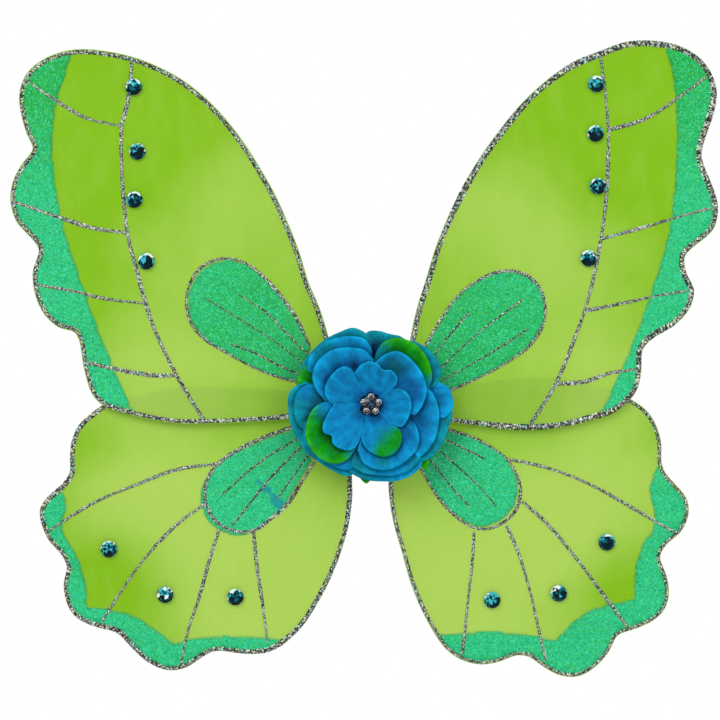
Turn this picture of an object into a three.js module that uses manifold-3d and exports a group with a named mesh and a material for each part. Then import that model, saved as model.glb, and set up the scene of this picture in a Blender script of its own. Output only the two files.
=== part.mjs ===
// Fairy wings: four nylon-over-wire wings, a fabric flower with a brooch, a back pad and two shoulder straps.
// Millimetres, +Z up. +X is the wearer's right, and the decorated face looks along -Y.
// The origin is the centre of the back pad's rear face, which rests on the wearer's back.
import * as THREE from "three";
import { mergeVertices } from "three/addons/utils/BufferGeometryUtils.js";
import Module from "manifold-3d";

const wasm = await Module();
wasm.setup();

// Driving dimensions
const SPAN = 470; // tip to tip across the upper wings
const HEIGHT = 422; // top of the upper wings to the bottom of the lower wings
const WIRE_DIAMETER = 2;
const NYLON = 0.3; // one layer of the sleeve
const CLEAR = 0.3; // between pieces that touch
const WING_GAP = 1.8; // between the upper and the lower wing where they pass each other

const PAD_WIDTH = 34;
const PAD_HEIGHT = 76;
const PAD_THICKNESS = 7;
const PAD_EDGE = 3; // rounding of the pad's edges

const BINDING_WIDTH = 27; // taped bundle where the four wires cross
const BINDING_HEIGHT = 26;
const BINDING_DEPTH = 14;
const BINDING_EDGE = 2.5;
const ROOT_DIAMETER = 6.6; // wrapped root that one side's two wings bend on

const STRAP_WIDTH = 12;
const STRAP_THICKNESS = 1.2;
const STRAP_SPACING = 21; // centre to centre of the two straps
const STRAP_REACH = 113; // from the sewn ends to the back of the loop
const STRAP_RISE = 7.5; // how far the loop stands above and below the pad

const FELT_DIAMETER = 40;
const FELT_THICKNESS = 1.5;
const FLOWER_DIAMETER = 110;
const PETAL_THICKNESS = 0.8;
const LAYER_PITCH = 1.6; // from one petal layer to the next at the flower's heart
const HEART_RADIUS = 12; // the flat middle of each layer, before its petals rise forward

const STONE_DIAMETER = 11.1;
const STONE_HEIGHT = 3.6;
const CRYSTAL_DIAMETER = 3.7;
const CRYSTAL_HEIGHT = 3;
const CUP_WALL = 0.35;
const CUP_CIRCLE = 10.6; // diameter of the circle that the five cups stand on
const HEART_STONE_DIAMETER = 4.4;
const SETTING_BASE = 1.4; // thickness of the plate under the cups

// The size that the wing outlines below are drawn at. SPAN and HEIGHT stretch them.
const DRAWN_SPAN = 470;
const DRAWN_HEIGHT = 422;
const NECK_RISE = 6; // half the height of the four wings' necks at the root

// Worked out from the sizes above
const WIRE_RADIUS = WIRE_DIAMETER / 2;
const SLEEVE_INSIDE = WIRE_RADIUS + CLEAR;
const SLEEVE_OUTSIDE = SLEEVE_INSIDE + NYLON;
const ROOT_X = BINDING_WIDTH / 2 + CLEAR + ROOT_DIAMETER / 2;
const STUB_X = ROOT_X + ROOT_DIAMETER / 2 + 3 * CLEAR; // where the wires leave the wrapped root
const NECK_X = STUB_X + SLEEVE_OUTSIDE; // where the sleeves start
const HUB_BACK = PAD_THICKNESS + CLEAR;
const HINGE_DEPTH = HUB_BACK + BINDING_DEPTH / 2;
const PLANE_OFFSET = SLEEVE_OUTSIDE + WING_GAP / 2;
const FELT_BACK = HUB_BACK + BINDING_DEPTH + CLEAR;
const FLOWER_BACK = FELT_BACK + FELT_THICKNESS + CLEAR;

const STEPS_BETWEEN_POINTS = 2;

// Each wing's outline from the top of its neck, out round the wing and back to its neck, as [x, z].
const LEFT_UPPER_EDGE = [
  [-24, 22], [-27, 35], [-30, 46], [-36, 65], [-43, 81], [-48, 98], [-56, 119], [-65, 139],
  [-74, 155], [-84, 171], [-96, 187], [-109, 201], [-125, 214], [-141, 223], [-159, 230],
  [-178, 234], [-197, 235], [-215, 230], [-228, 220], [-233, 207], [-232, 194], [-228, 180],
  [-224, 170], [-231, 160], [-237, 149], [-239, 136], [-235, 122], [-226, 112], [-220, 103],
  [-224, 89], [-223, 75], [-217, 61], [-207, 52], [-197, 49], [-193, 42], [-191, 29], [-188, 16],
  [-184, 6], [-176, -1], [-164, -5], [-148, -9], [-128, -12], [-106, -12], [-82, -11],
  [-57, -9], [-38, -5],
];
const RIGHT_UPPER_EDGE = [
  [24, 22], [26, 35], [28, 46], [32, 64], [38, 83], [44, 103], [52, 123], [61, 142], [74, 164],
  [87, 182], [101, 199], [117, 214], [134, 226], [153, 234], [170, 240], [185, 241], [200, 239],
  [214, 233], [224, 223], [229, 209], [227, 194], [222, 179], [219, 165], [225, 148], [230, 132],
  [227, 117], [217, 108], [208, 99], [209, 87], [214, 76], [211, 64], [201, 53], [189, 46],
  [180, 37], [179, 24], [177, 12], [172, 4], [161, -5], [145, -10], [129, -14], [112, -16],
  [95, -16], [76, -14], [53, -11], [37, -6],
];
const LEFT_LOWER_EDGE = [
  [-36, 4], [-60, 8], [-90, 9], [-120, 10], [-155, 5], [-177, -1], [-187, -8], [-195, -16],
  [-199, -26], [-200, -37], [-200, -46], [-206, -55], [-215, -63], [-220, -71], [-219, -80],
  [-214, -91], [-206, -100], [-202, -109], [-204, -119], [-203, -130], [-198, -140], [-189, -146],
  [-179, -149], [-169, -152], [-161, -160], [-152, -169], [-142, -175], [-132, -177], [-122, -174],
  [-113, -168], [-104, -164], [-92, -165], [-79, -166], [-67, -164], [-56, -157], [-46, -147],
  [-37, -133], [-28, -116], [-21, -98], [-16, -80], [-14, -63], [-14, -48], [-15.5, -34],
  [-19, -22], [-22.5, -13],
];
const RIGHT_LOWER_EDGE = [
  [36, 5], [55, 10], [88, 15], [121, 16], [150, 11], [173, 2], [184, -6], [190, -16], [193, -28],
  [193, -39], [196, -47], [203, -55], [210, -64], [211, -74], [206, -85], [197, -93], [192, -102],
  [196, -114], [198, -126], [195, -137], [186, -145], [174, -150], [164, -154], [158, -165],
  [149, -175], [138, -181], [126, -180], [115, -174], [106, -168], [97, -167], [86, -171],
  [74, -173], [61, -170], [51, -163], [43, -152], [34, -135], [27, -117], [22, -99], [17, -82],
  [14, -66], [13, -50], [15, -34], [19, -22], [22.5, -13],
];
const STONES = {
  left_upper: [[-158, 211], [-155.5, 168], [-157.5, 136], [-149.5, 95]],
  right_upper: [[150, 213], [149.5, 180], [151, 145], [145, 97]],
  left_lower: [[-175, -97], [-137.5, -127.5], [-90.5, -129]],
  right_lower: [[157.5, -92.5], [125.5, -126.5], [81, -131]],
};

// Petals of one layer: the direction that each points in, its reach from the heart and its half-angle.
const BACK_PETALS = [
  { angle: 62, reach: 54, spread: 42 },
  { angle: 128, reach: 55, spread: 40 },
  { angle: 190, reach: 55, spread: 40 },
  { angle: 250, reach: 53, spread: 38 },
  { angle: 308, reach: 54, spread: 40 },
  { angle: 2, reach: 54, spread: 36 },
];
const OUTER_PETALS = [
  { angle: 50, reach: 46, spread: 32 },
  { angle: 115, reach: 48, spread: 34 },
  { angle: 155, reach: 48, spread: 24 },
  { angle: 192, reach: 50, spread: 32 },
  { angle: 268, reach: 46, spread: 38 },
  { angle: 343, reach: 46, spread: 36 },
];
const MIDDLE_PETALS = [
  { angle: 35, reach: 41, spread: 38 },
  { angle: 125, reach: 40, spread: 40 },
  { angle: 215, reach: 46, spread: 38 },
  { angle: 305, reach: 42, spread: 42 },
];
const INNER_PETALS = [
  { angle: 5, reach: 26, spread: 34 },
  { angle: 77, reach: 29, spread: 36 },
  { angle: 141, reach: 34, spread: 32 },
  { angle: 223, reach: 33, spread: 40 },
  { angle: 290, reach: 35, spread: 34 },
];
const LEAVES = [
  { angle: 28, reach: 46, spread: 26 },
  { angle: 152, reach: 47, spread: 26 },
  { angle: 267, reach: 52, spread: 20 },
];

const FINISHES = {
  wire: { color: 0x8c8f8c, roughness: 0.4, metalness: 1 },
  nylon: { color: 0x9bd23c, roughness: 0.55, metalness: 0 },
  stone: { color: 0x0f8c9b, roughness: 0.1, metalness: 0.2 },
  pad: { color: 0x5aa83a, roughness: 0.9, metalness: 0 },
  tape: { color: 0x4f8f35, roughness: 0.8, metalness: 0 },
  felt: { color: 0x2f8a3c, roughness: 0.95, metalness: 0 },
  elastic: { color: 0x86c23a, roughness: 0.85, metalness: 0 },
  leaf: { color: 0x1e9600, roughness: 0.75, metalness: 0 },
  petal: { color: 0x008cc8, roughness: 0.75, metalness: 0 },
  silver: { color: 0xc9ccd0, roughness: 0.25, metalness: 1 },
  crystal: { color: 0xeaf3f8, roughness: 0.05, metalness: 0 },
  heart: { color: 0x0a3f5c, roughness: 0.1, metalness: 0.1 },
};

// A smooth curve that is stepped from point to point, so that each notch gets a step of its own.
class PointedCurve extends THREE.CatmullRomCurve3 {
  getPointAt(share, target) {
    return this.getPoint(share, target);
  }
  getTangentAt(share, target) {
    return this.getTangent(share, target);
  }
}

function solidOf(geometry) {
  const bare = geometry.clone();
  bare.deleteAttribute("normal");
  bare.deleteAttribute("uv");
  const merged = mergeVertices(bare, 1e-4);
  const mesh = new wasm.Mesh({
    numProp: 3,
    vertProperties: merged.attributes.position.array,
    triVerts: new Uint32Array(merged.index.array),
  });
  return new wasm.Manifold(mesh);
}

function geometryOf(solid) {
  const mesh = solid.getMesh();
  const geometry = new THREE.BufferGeometry();
  geometry.setAttribute("position", new THREE.BufferAttribute(mesh.vertProperties, 3));
  geometry.setIndex(new THREE.BufferAttribute(mesh.triVerts, 1));
  geometry.computeVertexNormals();
  return geometry;
}

function piece(name, geometry, finish) {
  const mesh = new THREE.Mesh(geometry, new THREE.MeshStandardMaterial(FINISHES[finish]));
  mesh.name = name;
  return mesh;
}

// A slab of an outline in the XZ plane, from the given depth forward along -Y.
function slab(outline, back, depth) {
  const geometry = new THREE.ExtrudeGeometry(new THREE.Shape(outline), { depth, bevelEnabled: false });
  return geometry.rotateX(Math.PI / 2).translate(0, -back, 0);
}

function roundedRectangle(width, height, corner) {
  const x = width / 2;
  const z = height / 2;
  const shape = new THREE.Shape();
  shape.moveTo(-x + corner, -z);
  shape.absarc(x - corner, -z + corner, corner, -Math.PI / 2, 0);
  shape.absarc(x - corner, z - corner, corner, 0, Math.PI / 2);
  shape.absarc(-x + corner, z - corner, corner, Math.PI / 2, Math.PI);
  shape.absarc(-x + corner, -z + corner, corner, Math.PI, 1.5 * Math.PI);
  return shape;
}

// A block with rounded edges all round, standing on its back at the given depth.
function softBlock(width, height, depth, edge, corner, back) {
  const face = roundedRectangle(width - 2 * edge, height - 2 * edge, corner);
  const geometry = new THREE.ExtrudeGeometry(face, {
    depth: depth - 2 * edge,
    bevelThickness: edge,
    bevelSize: edge,
    bevelSegments: 2,
    curveSegments: 3,
  });
  return geometry.rotateX(Math.PI / 2).translate(0, -back - edge, 0);
}

// A turned piece whose axis runs forward along -Y. Its profile is a list of [radius, height].
function turned(profile, segments) {
  const points = profile.map(([radius, height]) => new THREE.Vector2(radius, height));
  return new THREE.LatheGeometry(points, segments).rotateX(Math.PI);
}

function wingPoint(side, [x, z]) {
  const drawnReach = DRAWN_SPAN / 2 - NECK_X;
  const reach = SPAN / 2 - NECK_X;
  const outward = ((Math.abs(x) - NECK_X) * reach) / drawnReach;
  return new THREE.Vector3(side * (NECK_X + outward), 0, (z * HEIGHT) / DRAWN_HEIGHT);
}

// The wire's route: out of the root at one height, round the wing, and back at the other height.
function wingCurve(side, edge, neckTop, neckBottom) {
  const ends = [neckTop, neckBottom].map((z) => [
    new THREE.Vector3(side * STUB_X, 0, z),
    new THREE.Vector3(side * NECK_X, 0, z),
  ]);
  const round = edge.map((point) => wingPoint(side, point));
  return new PointedCurve([...ends[0], ...round, ends[1][1], ends[1][0]]);
}

// The wing's outline from neck to neck, moved outwards from the wire's middle by a distance.
function grownOutline(side, curve, distance) {
  const spans = curve.points.length - 1;
  const outline = [];
  for (let i = STEPS_BETWEEN_POINTS; i <= (spans - 1) * STEPS_BETWEEN_POINTS; i += 1) {
    const share = i / (spans * STEPS_BETWEEN_POINTS);
    const at = curve.getPoint(share);
    const along = curve.getTangent(share);
    outline.push(new THREE.Vector2(at.x - side * along.z * distance, at.z + side * along.x * distance));
  }
  return outline;
}

function wireGeometry(curve) {
  const section = new THREE.Shape();
  section.absarc(0, 0, WIRE_RADIUS, 0, 2 * Math.PI);
  return new THREE.ExtrudeGeometry(section, {
    steps: (curve.points.length - 1) * STEPS_BETWEEN_POINTS,
    curveSegments: 3,
    extrudePath: curve,
  });
}

// A flat bag of two nylon layers, closed round the wing and open at its neck.
function sleeveGeometry(side, curve) {
  const outside = grownOutline(side, curve, SLEEVE_OUTSIDE);
  const inside = grownOutline(side, curve, SLEEVE_INSIDE);
  const mouth = -side * 2 * SLEEVE_OUTSIDE;
  const first = inside[0];
  const last = inside[inside.length - 1];
  inside.unshift(new THREE.Vector2(first.x + mouth, first.y));
  inside.push(new THREE.Vector2(last.x + mouth, last.y));
  const bag = solidOf(slab(outside, -SLEEVE_OUTSIDE, 2 * SLEEVE_OUTSIDE));
  const room = solidOf(slab(inside, -SLEEVE_INSIDE, 2 * SLEEVE_INSIDE));
  return geometryOf(bag.subtract(room));
}

// A flat-backed faceted stone, standing on the plane y = 0.
function stoneGeometry(diameter, height, facets) {
  const radius = diameter / 2;
  const girdle = height / 4;
  return turned([[0, 0], [radius * 0.92, 0], [radius, girdle], [radius * 0.55, height], [0, height]], facets);
}

function makeWing(name, side, edge, depth, neckTop, neckBottom) {
  const wing = new THREE.Group();
  const curve = wingCurve(side, edge, neckTop, neckBottom);
  wing.add(piece(name + "_wire", wireGeometry(curve), "wire"));
  wing.add(piece(name + "_sleeve", sleeveGeometry(side, curve), "nylon"));
  STONES[name].forEach((point, i) => {
    const stone = piece(name + "_stone_" + (i + 1), stoneGeometry(STONE_DIAMETER, STONE_HEIGHT, 12), "stone");
    stone.position.copy(wingPoint(side, point)).setY(-SLEEVE_OUTSIDE - CLEAR);
    wing.add(stone);
  });
  wing.position.y = -depth;
  return wing;
}

function makePad() {
  const block = softBlock(PAD_WIDTH, PAD_HEIGHT, PAD_THICKNESS, PAD_EDGE, 2 * PAD_EDGE, 0);
  return piece("back_pad", block, "pad");
}

// A flat elastic loop that leaves the top of the pad, reaches back, and returns to the pad's bottom.
function makeStrap(name, side) {
  const high = PAD_HEIGHT / 2 + STRAP_RISE;
  const sewn = PAD_HEIGHT / 2 + STRAP_THICKNESS;
  const front = -PAD_THICKNESS / 2;
  const loop = [
    [0, sewn], [0.015, 0.93 * high], [0.09, 0.995 * high], [0.24, high], [0.5, 0.95 * high],
    [0.76, 0.77 * high], [0.94, 0.4 * high], [1, -0.12 * high], [0.95, -0.62 * high],
    [0.8, -0.93 * high], [0.55, -1.04 * high], [0.26, -1.03 * high], [0.09, -1.0 * high],
    [0.015, -0.93 * high], [0, -sewn],
  ];
  const points = loop.map(([back, z]) => new THREE.Vector3(0, front + back * STRAP_REACH, z));
  const section = new THREE.Shape();
  section.moveTo(-STRAP_WIDTH / 2, -STRAP_THICKNESS / 2);
  section.lineTo(STRAP_WIDTH / 2, -STRAP_THICKNESS / 2);
  section.lineTo(STRAP_WIDTH / 2, STRAP_THICKNESS / 2);
  section.lineTo(-STRAP_WIDTH / 2, STRAP_THICKNESS / 2);
  const band = new THREE.ExtrudeGeometry(section, {
    steps: 44,
    extrudePath: new THREE.CatmullRomCurve3(points),
  });
  const strap = piece(name, band, "elastic");
  strap.position.x = (side * STRAP_SPACING) / 2;
  return strap;
}

function makeCentreBinding() {
  const block = softBlock(
    BINDING_WIDTH, BINDING_HEIGHT, BINDING_DEPTH, BINDING_EDGE, BINDING_EDGE, HUB_BACK,
  );
  return piece("centre_binding", block, "tape");
}

function makeRootBinding(name, side) {
  const height = 2 * NECK_RISE + 3;
  const root = new THREE.CylinderGeometry(ROOT_DIAMETER / 2, ROOT_DIAMETER / 2, height, 16);
  root.rotateX(Math.PI / 2);
  const mesh = piece(name, root, "tape");
  mesh.position.set(side * ROOT_X, -HINGE_DEPTH, 0);
  return mesh;
}

function makeFeltDisc() {
  const radius = FELT_DIAMETER / 2;
  const disc = turned([[0, 0], [radius, 0], [radius, FELT_THICKNESS], [0, FELT_THICKNESS]], 28);
  const mesh = piece("felt_disc", disc, "felt");
  mesh.position.y = -FELT_BACK;
  return mesh;
}

// How far a layer reaches in one direction: the longest petal there, or the valley between petals.
function reachAt(petals, angle, valley) {
  let reach = valley;
  for (const petal of petals) {
    const turn = THREE.MathUtils.euclideanModulo(angle - petal.angle + 180, 360) - 180;
    const share = Math.abs(turn) / petal.spread;
    if (share < 1) {
      reach = Math.max(reach, valley + (petal.reach - valley) * Math.sqrt(Math.cos((share * Math.PI) / 2)));
    }
  }
  return (reach * FLOWER_DIAMETER) / 110;
}

// One cut layer of cupped petals: flat at the heart and rising forward beyond its flat radius.
function makePetalLayer(name, petals, valley, level, slope, finish) {
  const rings = [0, 1, 2, 3, 4];
  const back = rings.map((ring) => [ring, 0]);
  const front = rings.map((ring) => [ring, PETAL_THICKNESS]).reverse();
  const layer = turned([...back, ...front], 40);
  const position = layer.attributes.position;
  for (let i = 0; i < position.count; i += 1) {
    const ring = Math.hypot(position.getX(i), position.getZ(i));
    const angle = Math.atan2(position.getZ(i), position.getX(i));
    const beyond = reachAt(petals, THREE.MathUtils.radToDeg(angle), valley) - HEART_RADIUS;
    const radius = ring < 1 ? ring * HEART_RADIUS : HEART_RADIUS + (beyond * (ring - 1)) / 3;
    const rise = slope * Math.max(0, radius - HEART_RADIUS);
    position.setXYZ(i, radius * Math.cos(angle), position.getY(i) - rise, radius * Math.sin(angle));
  }
  layer.computeVertexNormals();
  const mesh = piece(name, layer, finish);
  mesh.position.y = -FLOWER_BACK - level * LAYER_PITCH;
  return mesh;
}

function makeFlower() {
  const flower = new THREE.Group();
  flower.add(makePetalLayer("flower_leaves", LEAVES, 16, 0, 0.36, "leaf"));
  flower.add(makePetalLayer("petals_back", BACK_PETALS, 36, 1, 0.4, "petal"));
  flower.add(makePetalLayer("petals_outer", OUTER_PETALS, 26, 2, 0.46, "petal"));
  flower.add(makePetalLayer("petals_middle", MIDDLE_PETALS, 22, 3, 0.56, "petal"));
  flower.add(makePetalLayer("petals_inner", INNER_PETALS, 16, 4, 0.8, "petal"));
  return flower;
}

function cupPlaces() {
  const places = [];
  for (let i = 0; i < 5; i += 1) {
    const angle = Math.PI / 2 + (i * 2 * Math.PI) / 5;
    places.push([(CUP_CIRCLE / 2) * Math.cos(angle), (CUP_CIRCLE / 2) * Math.sin(angle)]);
  }
  return places;
}

// A plate with five open cups on it, made as one casting.
function settingGeometry() {
  const bore = CRYSTAL_DIAMETER / 2 + CLEAR;
  const wall = bore + CUP_WALL;
  const rim = SETTING_BASE + CRYSTAL_HEIGHT * 0.6;
  const plate = CUP_CIRCLE / 2 + wall / 2;
  let setting = solidOf(turned([[0, 0], [plate, 0], [plate, SETTING_BASE], [0, SETTING_BASE]], 30));
  for (const [x, z] of cupPlaces()) {
    const cup = turned([[0, 0.2], [wall, 0.2], [wall, rim], [0, rim]], 12).translate(x, 0, z);
    const room = turned([[0, SETTING_BASE], [bore, SETTING_BASE], [bore, 2 * rim], [0, 2 * rim]], 12);
    setting = setting.add(solidOf(cup)).subtract(solidOf(room.translate(x, 0, z)));
  }
  return geometryOf(setting);
}

function makeBrooch() {
  const brooch = new THREE.Group();
  brooch.add(piece("brooch_setting", settingGeometry(), "silver"));
  cupPlaces().forEach(([x, z], i) => {
    const crystal = stoneGeometry(CRYSTAL_DIAMETER, CRYSTAL_HEIGHT, 10);
    const mesh = piece("brooch_crystal_" + (i + 1), crystal, "crystal");
    mesh.position.set(x, -SETTING_BASE - CLEAR, z);
    brooch.add(mesh);
  });
  const heart = piece("brooch_heart_stone", stoneGeometry(HEART_STONE_DIAMETER, 2, 12), "heart");
  heart.position.y = -SETTING_BASE - CLEAR;
  brooch.add(heart);
  brooch.position.y = -FLOWER_BACK - 4 * LAYER_PITCH - PETAL_THICKNESS - CLEAR;
  return brooch;
}

function makeFairyWings() {
  const wings = new THREE.Group();
  const upper = HINGE_DEPTH + PLANE_OFFSET;
  const lower = HINGE_DEPTH - PLANE_OFFSET;
  wings.add(makePad());
  wings.add(makeStrap("left_strap", -1), makeStrap("right_strap", 1));
  wings.add(makeCentreBinding());
  wings.add(makeRootBinding("left_root_binding", -1), makeRootBinding("right_root_binding", 1));
  wings.add(makeWing("left_upper", -1, LEFT_UPPER_EDGE, upper, NECK_RISE, 0));
  wings.add(makeWing("right_upper", 1, RIGHT_UPPER_EDGE, upper, NECK_RISE, 0));
  wings.add(makeWing("left_lower", -1, LEFT_LOWER_EDGE, lower, 0, -NECK_RISE));
  wings.add(makeWing("right_lower", 1, RIGHT_LOWER_EDGE, lower, 0, -NECK_RISE));
  wings.add(makeFeltDisc(), makeFlower(), makeBrooch());
  return wings;
}

export default makeFairyWings();
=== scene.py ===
"""Fairy wings: the looks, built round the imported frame. +Z is up and the decorated face looks along -Y."""

import math

import bmesh
import bpy
import numpy as np
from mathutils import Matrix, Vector
from mathutils.bvhtree import BVHTree
from mathutils.geometry import delaunay_2d_cdt


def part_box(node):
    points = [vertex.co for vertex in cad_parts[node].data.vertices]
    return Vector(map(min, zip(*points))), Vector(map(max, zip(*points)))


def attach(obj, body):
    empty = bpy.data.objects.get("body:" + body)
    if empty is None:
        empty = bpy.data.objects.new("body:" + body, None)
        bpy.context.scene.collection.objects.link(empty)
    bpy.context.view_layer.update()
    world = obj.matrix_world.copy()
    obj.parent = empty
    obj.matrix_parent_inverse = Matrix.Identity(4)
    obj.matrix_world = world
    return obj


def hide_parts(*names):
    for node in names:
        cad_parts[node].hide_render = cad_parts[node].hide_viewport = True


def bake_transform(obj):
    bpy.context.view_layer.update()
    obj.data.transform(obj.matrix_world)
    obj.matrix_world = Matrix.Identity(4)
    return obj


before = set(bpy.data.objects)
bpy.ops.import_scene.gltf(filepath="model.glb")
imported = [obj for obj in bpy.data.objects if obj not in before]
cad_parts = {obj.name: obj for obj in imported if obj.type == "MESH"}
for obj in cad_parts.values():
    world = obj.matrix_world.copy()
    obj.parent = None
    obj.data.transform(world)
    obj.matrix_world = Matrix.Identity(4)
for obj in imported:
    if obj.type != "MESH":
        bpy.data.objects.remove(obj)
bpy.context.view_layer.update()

MM = 0.001
SEED = 7
UPPER = ("left_upper", "right_upper")
LOWER = ("left_lower", "right_lower")

# Cloth, glue and stones, in millimetres
SKIN_HALF = 1.4  # from a wing's middle plane to the face of its nylon
WIRE_INSET = 1.6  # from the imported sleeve's edge to the middle of its wire
EDGE_STEP = 2.4  # between the points of a wing's edge
RIM_WIDTH = {"upper": 3.8, "lower": 3.0}  # of the silver line round a wing
RIM_INSET = 0.45  # from a wing's edge to its silver line
VEIN_WIDTH = {"upper": 2.3, "lower": 1.95}
DROP_WIDTH = 2.0  # of the silver line round a teardrop
FINE_WIDTH = 1.3  # of the silver lines inside a teardrop
LINE_HEIGHT = 0.55
LINE_SUNK = 0.25  # how far a line's underside lies under the nylon's face
RIM_STEP = 0.72  # between the rows of flakes on the silver line round a wing
LINE_STEP = 0.58  # and on every other line
FILM = 0.2  # thickness of the teal glitter paint
FILM_SUNK = 0.05
FADE = 3.0  # how far the paint takes to reach its full cover
PAD_CORNER = 6.5
PAD_SLIM = 0.78  # the cushion's thickness before it is blown up, as a share of the solid's
PAD_TRIM = np.array([0.97, 0.985])  # and its width and height
PUFF = 2.2  # how far the blown cloth may move
VOXEL = 2.2
QUILT_STEP = 11.5
QUILT_DEPTH = 1.15
QUILT_SOFT = 1.15  # half the width of a sewn channel
CORD = 1.15  # radius of the piping
STRAP_PIVOT = -3.5  # y of the sewn seam that a strap swings on
STRAP_REACH = 113.0
STRAP_TALL = 45.5
TURN_HIGH = 41.5  # and where it has turned all the way
TAPE_PITCH = 4.2  # between the turns of the tape on a binding

# Where the dyed colours and the painted shade lie, in metres
LOW_TIP = (0.172, -0.122)  # (x, z) of the deeper lime low on each lower wing
OVERLAP_SHADE_HIGH = -0.012  # z of the painted shade, a deeper lime, where the wings overlap
SMUDGE = (-0.066, -0.0615)  # (x, z) where a little blue dye has bled into a teardrop

# The studio, in metres
FLOOR_HIGH = -1.6
FLOOR_REACH = 8.6
EYE = (-0.0073, -1.5168, 0.0293)


# ---------------------------------------------------------------- shader expressions

class Value:
    """A shader socket. Sums and products of values add Math nodes."""

    def __init__(self, shade, socket):
        self.shade = shade
        self.socket = socket

    def math(self, operation, *others):
        inputs = dict(enumerate((self, *others)))
        return self.shade.node("ShaderNodeMath", {"operation": operation}, inputs)

    def __add__(self, other):
        return self.math("ADD", other)

    __radd__ = __add__

    def __mul__(self, other):
        return self.math("MULTIPLY", other)

    __rmul__ = __mul__

    def __sub__(self, other):
        return self.math("SUBTRACT", other)

    def __rsub__(self, other):
        return (self * -1.0) + other

    def over(self, low, high):
        """0 below low, 1 above high, and smooth between."""
        ends = {"Value": self, "From Min": low, "From Max": high}
        return self.shade.node("ShaderNodeMapRange", {"interpolation_type": "SMOOTHSTEP"}, ends)


class Shade:
    """One material: its nodes come from node(), and its finish from set()."""

    def __init__(self, name):
        self.material = bpy.data.materials.new(name)
        self.material.use_nodes = True
        self.tree = self.material.node_tree
        self.shader = self.tree.nodes["Principled BSDF"]

    def plug(self, socket, value):
        if isinstance(value, Value):
            self.tree.links.new(value.socket, socket)
        elif hasattr(value, "__len__") and len(value) == 3 and len(socket.default_value) == 4:
            socket.default_value = (*value, 1.0)
        else:
            socket.default_value = value

    def node(self, kind, settings=None, inputs=None, output=0):
        made = self.tree.nodes.new(kind)
        for key, value in (settings or {}).items():
            setattr(made, key, value)
        for key, value in (inputs or {}).items():
            self.plug(made.inputs[key], value)
        return Value(self, made.outputs[output])

    def mix(self, factor, first, second, blend="MIX"):
        settings = {"data_type": "RGBA", "blend_type": blend}
        return self.node("ShaderNodeMix", settings, {0: factor, 6: first, 7: second}, output=2)

    def place(self, stretch=(1, 1, 1)):
        """The point on the piece, in metres, stretched along each axis."""
        return self.stretched(self.node("ShaderNodeTexCoord", output=3), stretch)

    def sewn(self, stretch=(1, 1, 1)):
        """The point in the piece's own cloth pattern, from its UV map."""
        return self.stretched(self.node("ShaderNodeTexCoord", output=2), stretch)

    def stretched(self, vector, stretch):
        return self.node("ShaderNodeVectorMath", {"operation": "MULTIPLY"}, {0: vector, 1: stretch})

    def noise(self, where, scale, detail=2.0, roughness=0.5):
        inputs = {"Vector": where, "Scale": scale, "Detail": detail, "Roughness": roughness}
        return self.node("ShaderNodeTexNoise", None, inputs)

    def flakes(self, where, scale):
        """Random flakes, each with a colour of its own."""
        return self.node("ShaderNodeTexVoronoi", None, {"Vector": where, "Scale": scale}, output=1)

    def length(self, vector):
        return self.node("ShaderNodeVectorMath", {"operation": "LENGTH"}, {0: vector}, output=1)

    def axis(self, vector, number):
        return self.node("ShaderNodeSeparateXYZ", None, {0: vector}, number)

    def split(self, colour, output=0):
        return self.node("ShaderNodeSeparateColor", None, {0: colour}, output)

    def painted(self, name):
        """A colour that the mesh carries at its corners."""
        return self.node("ShaderNodeAttribute", {"attribute_name": name})

    def bump(self, height, distance, strength=1.0):
        inputs = {"Height": height, "Distance": distance, "Strength": strength}
        return self.node("ShaderNodeBump", None, inputs)

    def tilted(self, random, amount):
        """The surface's normal, leaned by a random colour."""
        normal = self.node("ShaderNodeNewGeometry", output=1)
        lean = self.node("ShaderNodeVectorMath", {"operation": "SUBTRACT"}, {0: random, 1: (0.5, 0.5, 0.5)})
        lean = self.node("ShaderNodeVectorMath", {"operation": "SCALE"}, {0: lean, "Scale": amount})
        leaned = self.node("ShaderNodeVectorMath", {"operation": "ADD"}, {0: normal, 1: lean})
        return self.node("ShaderNodeVectorMath", {"operation": "NORMALIZE"}, {0: leaned})

    def see_through(self, cover, tint=(1, 1, 1)):
        """Lets light straight through, tinted, where cover is under 1."""
        clear = self.node("ShaderNodeBsdfTransparent", None, {"Color": tint})
        joined = self.node("ShaderNodeMixShader", None, {0: cover, 1: clear})
        self.tree.links.new(self.shader.outputs[0], joined.socket.node.inputs[2])
        self.tree.links.new(joined.socket, self.tree.nodes["Material Output"].inputs["Surface"])

    def set(self, **sockets):
        for key, value in sockets.items():
            self.plug(self.shader.inputs[key.replace("_", " ")], value)


# ---------------------------------------------------------------- materials

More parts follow.
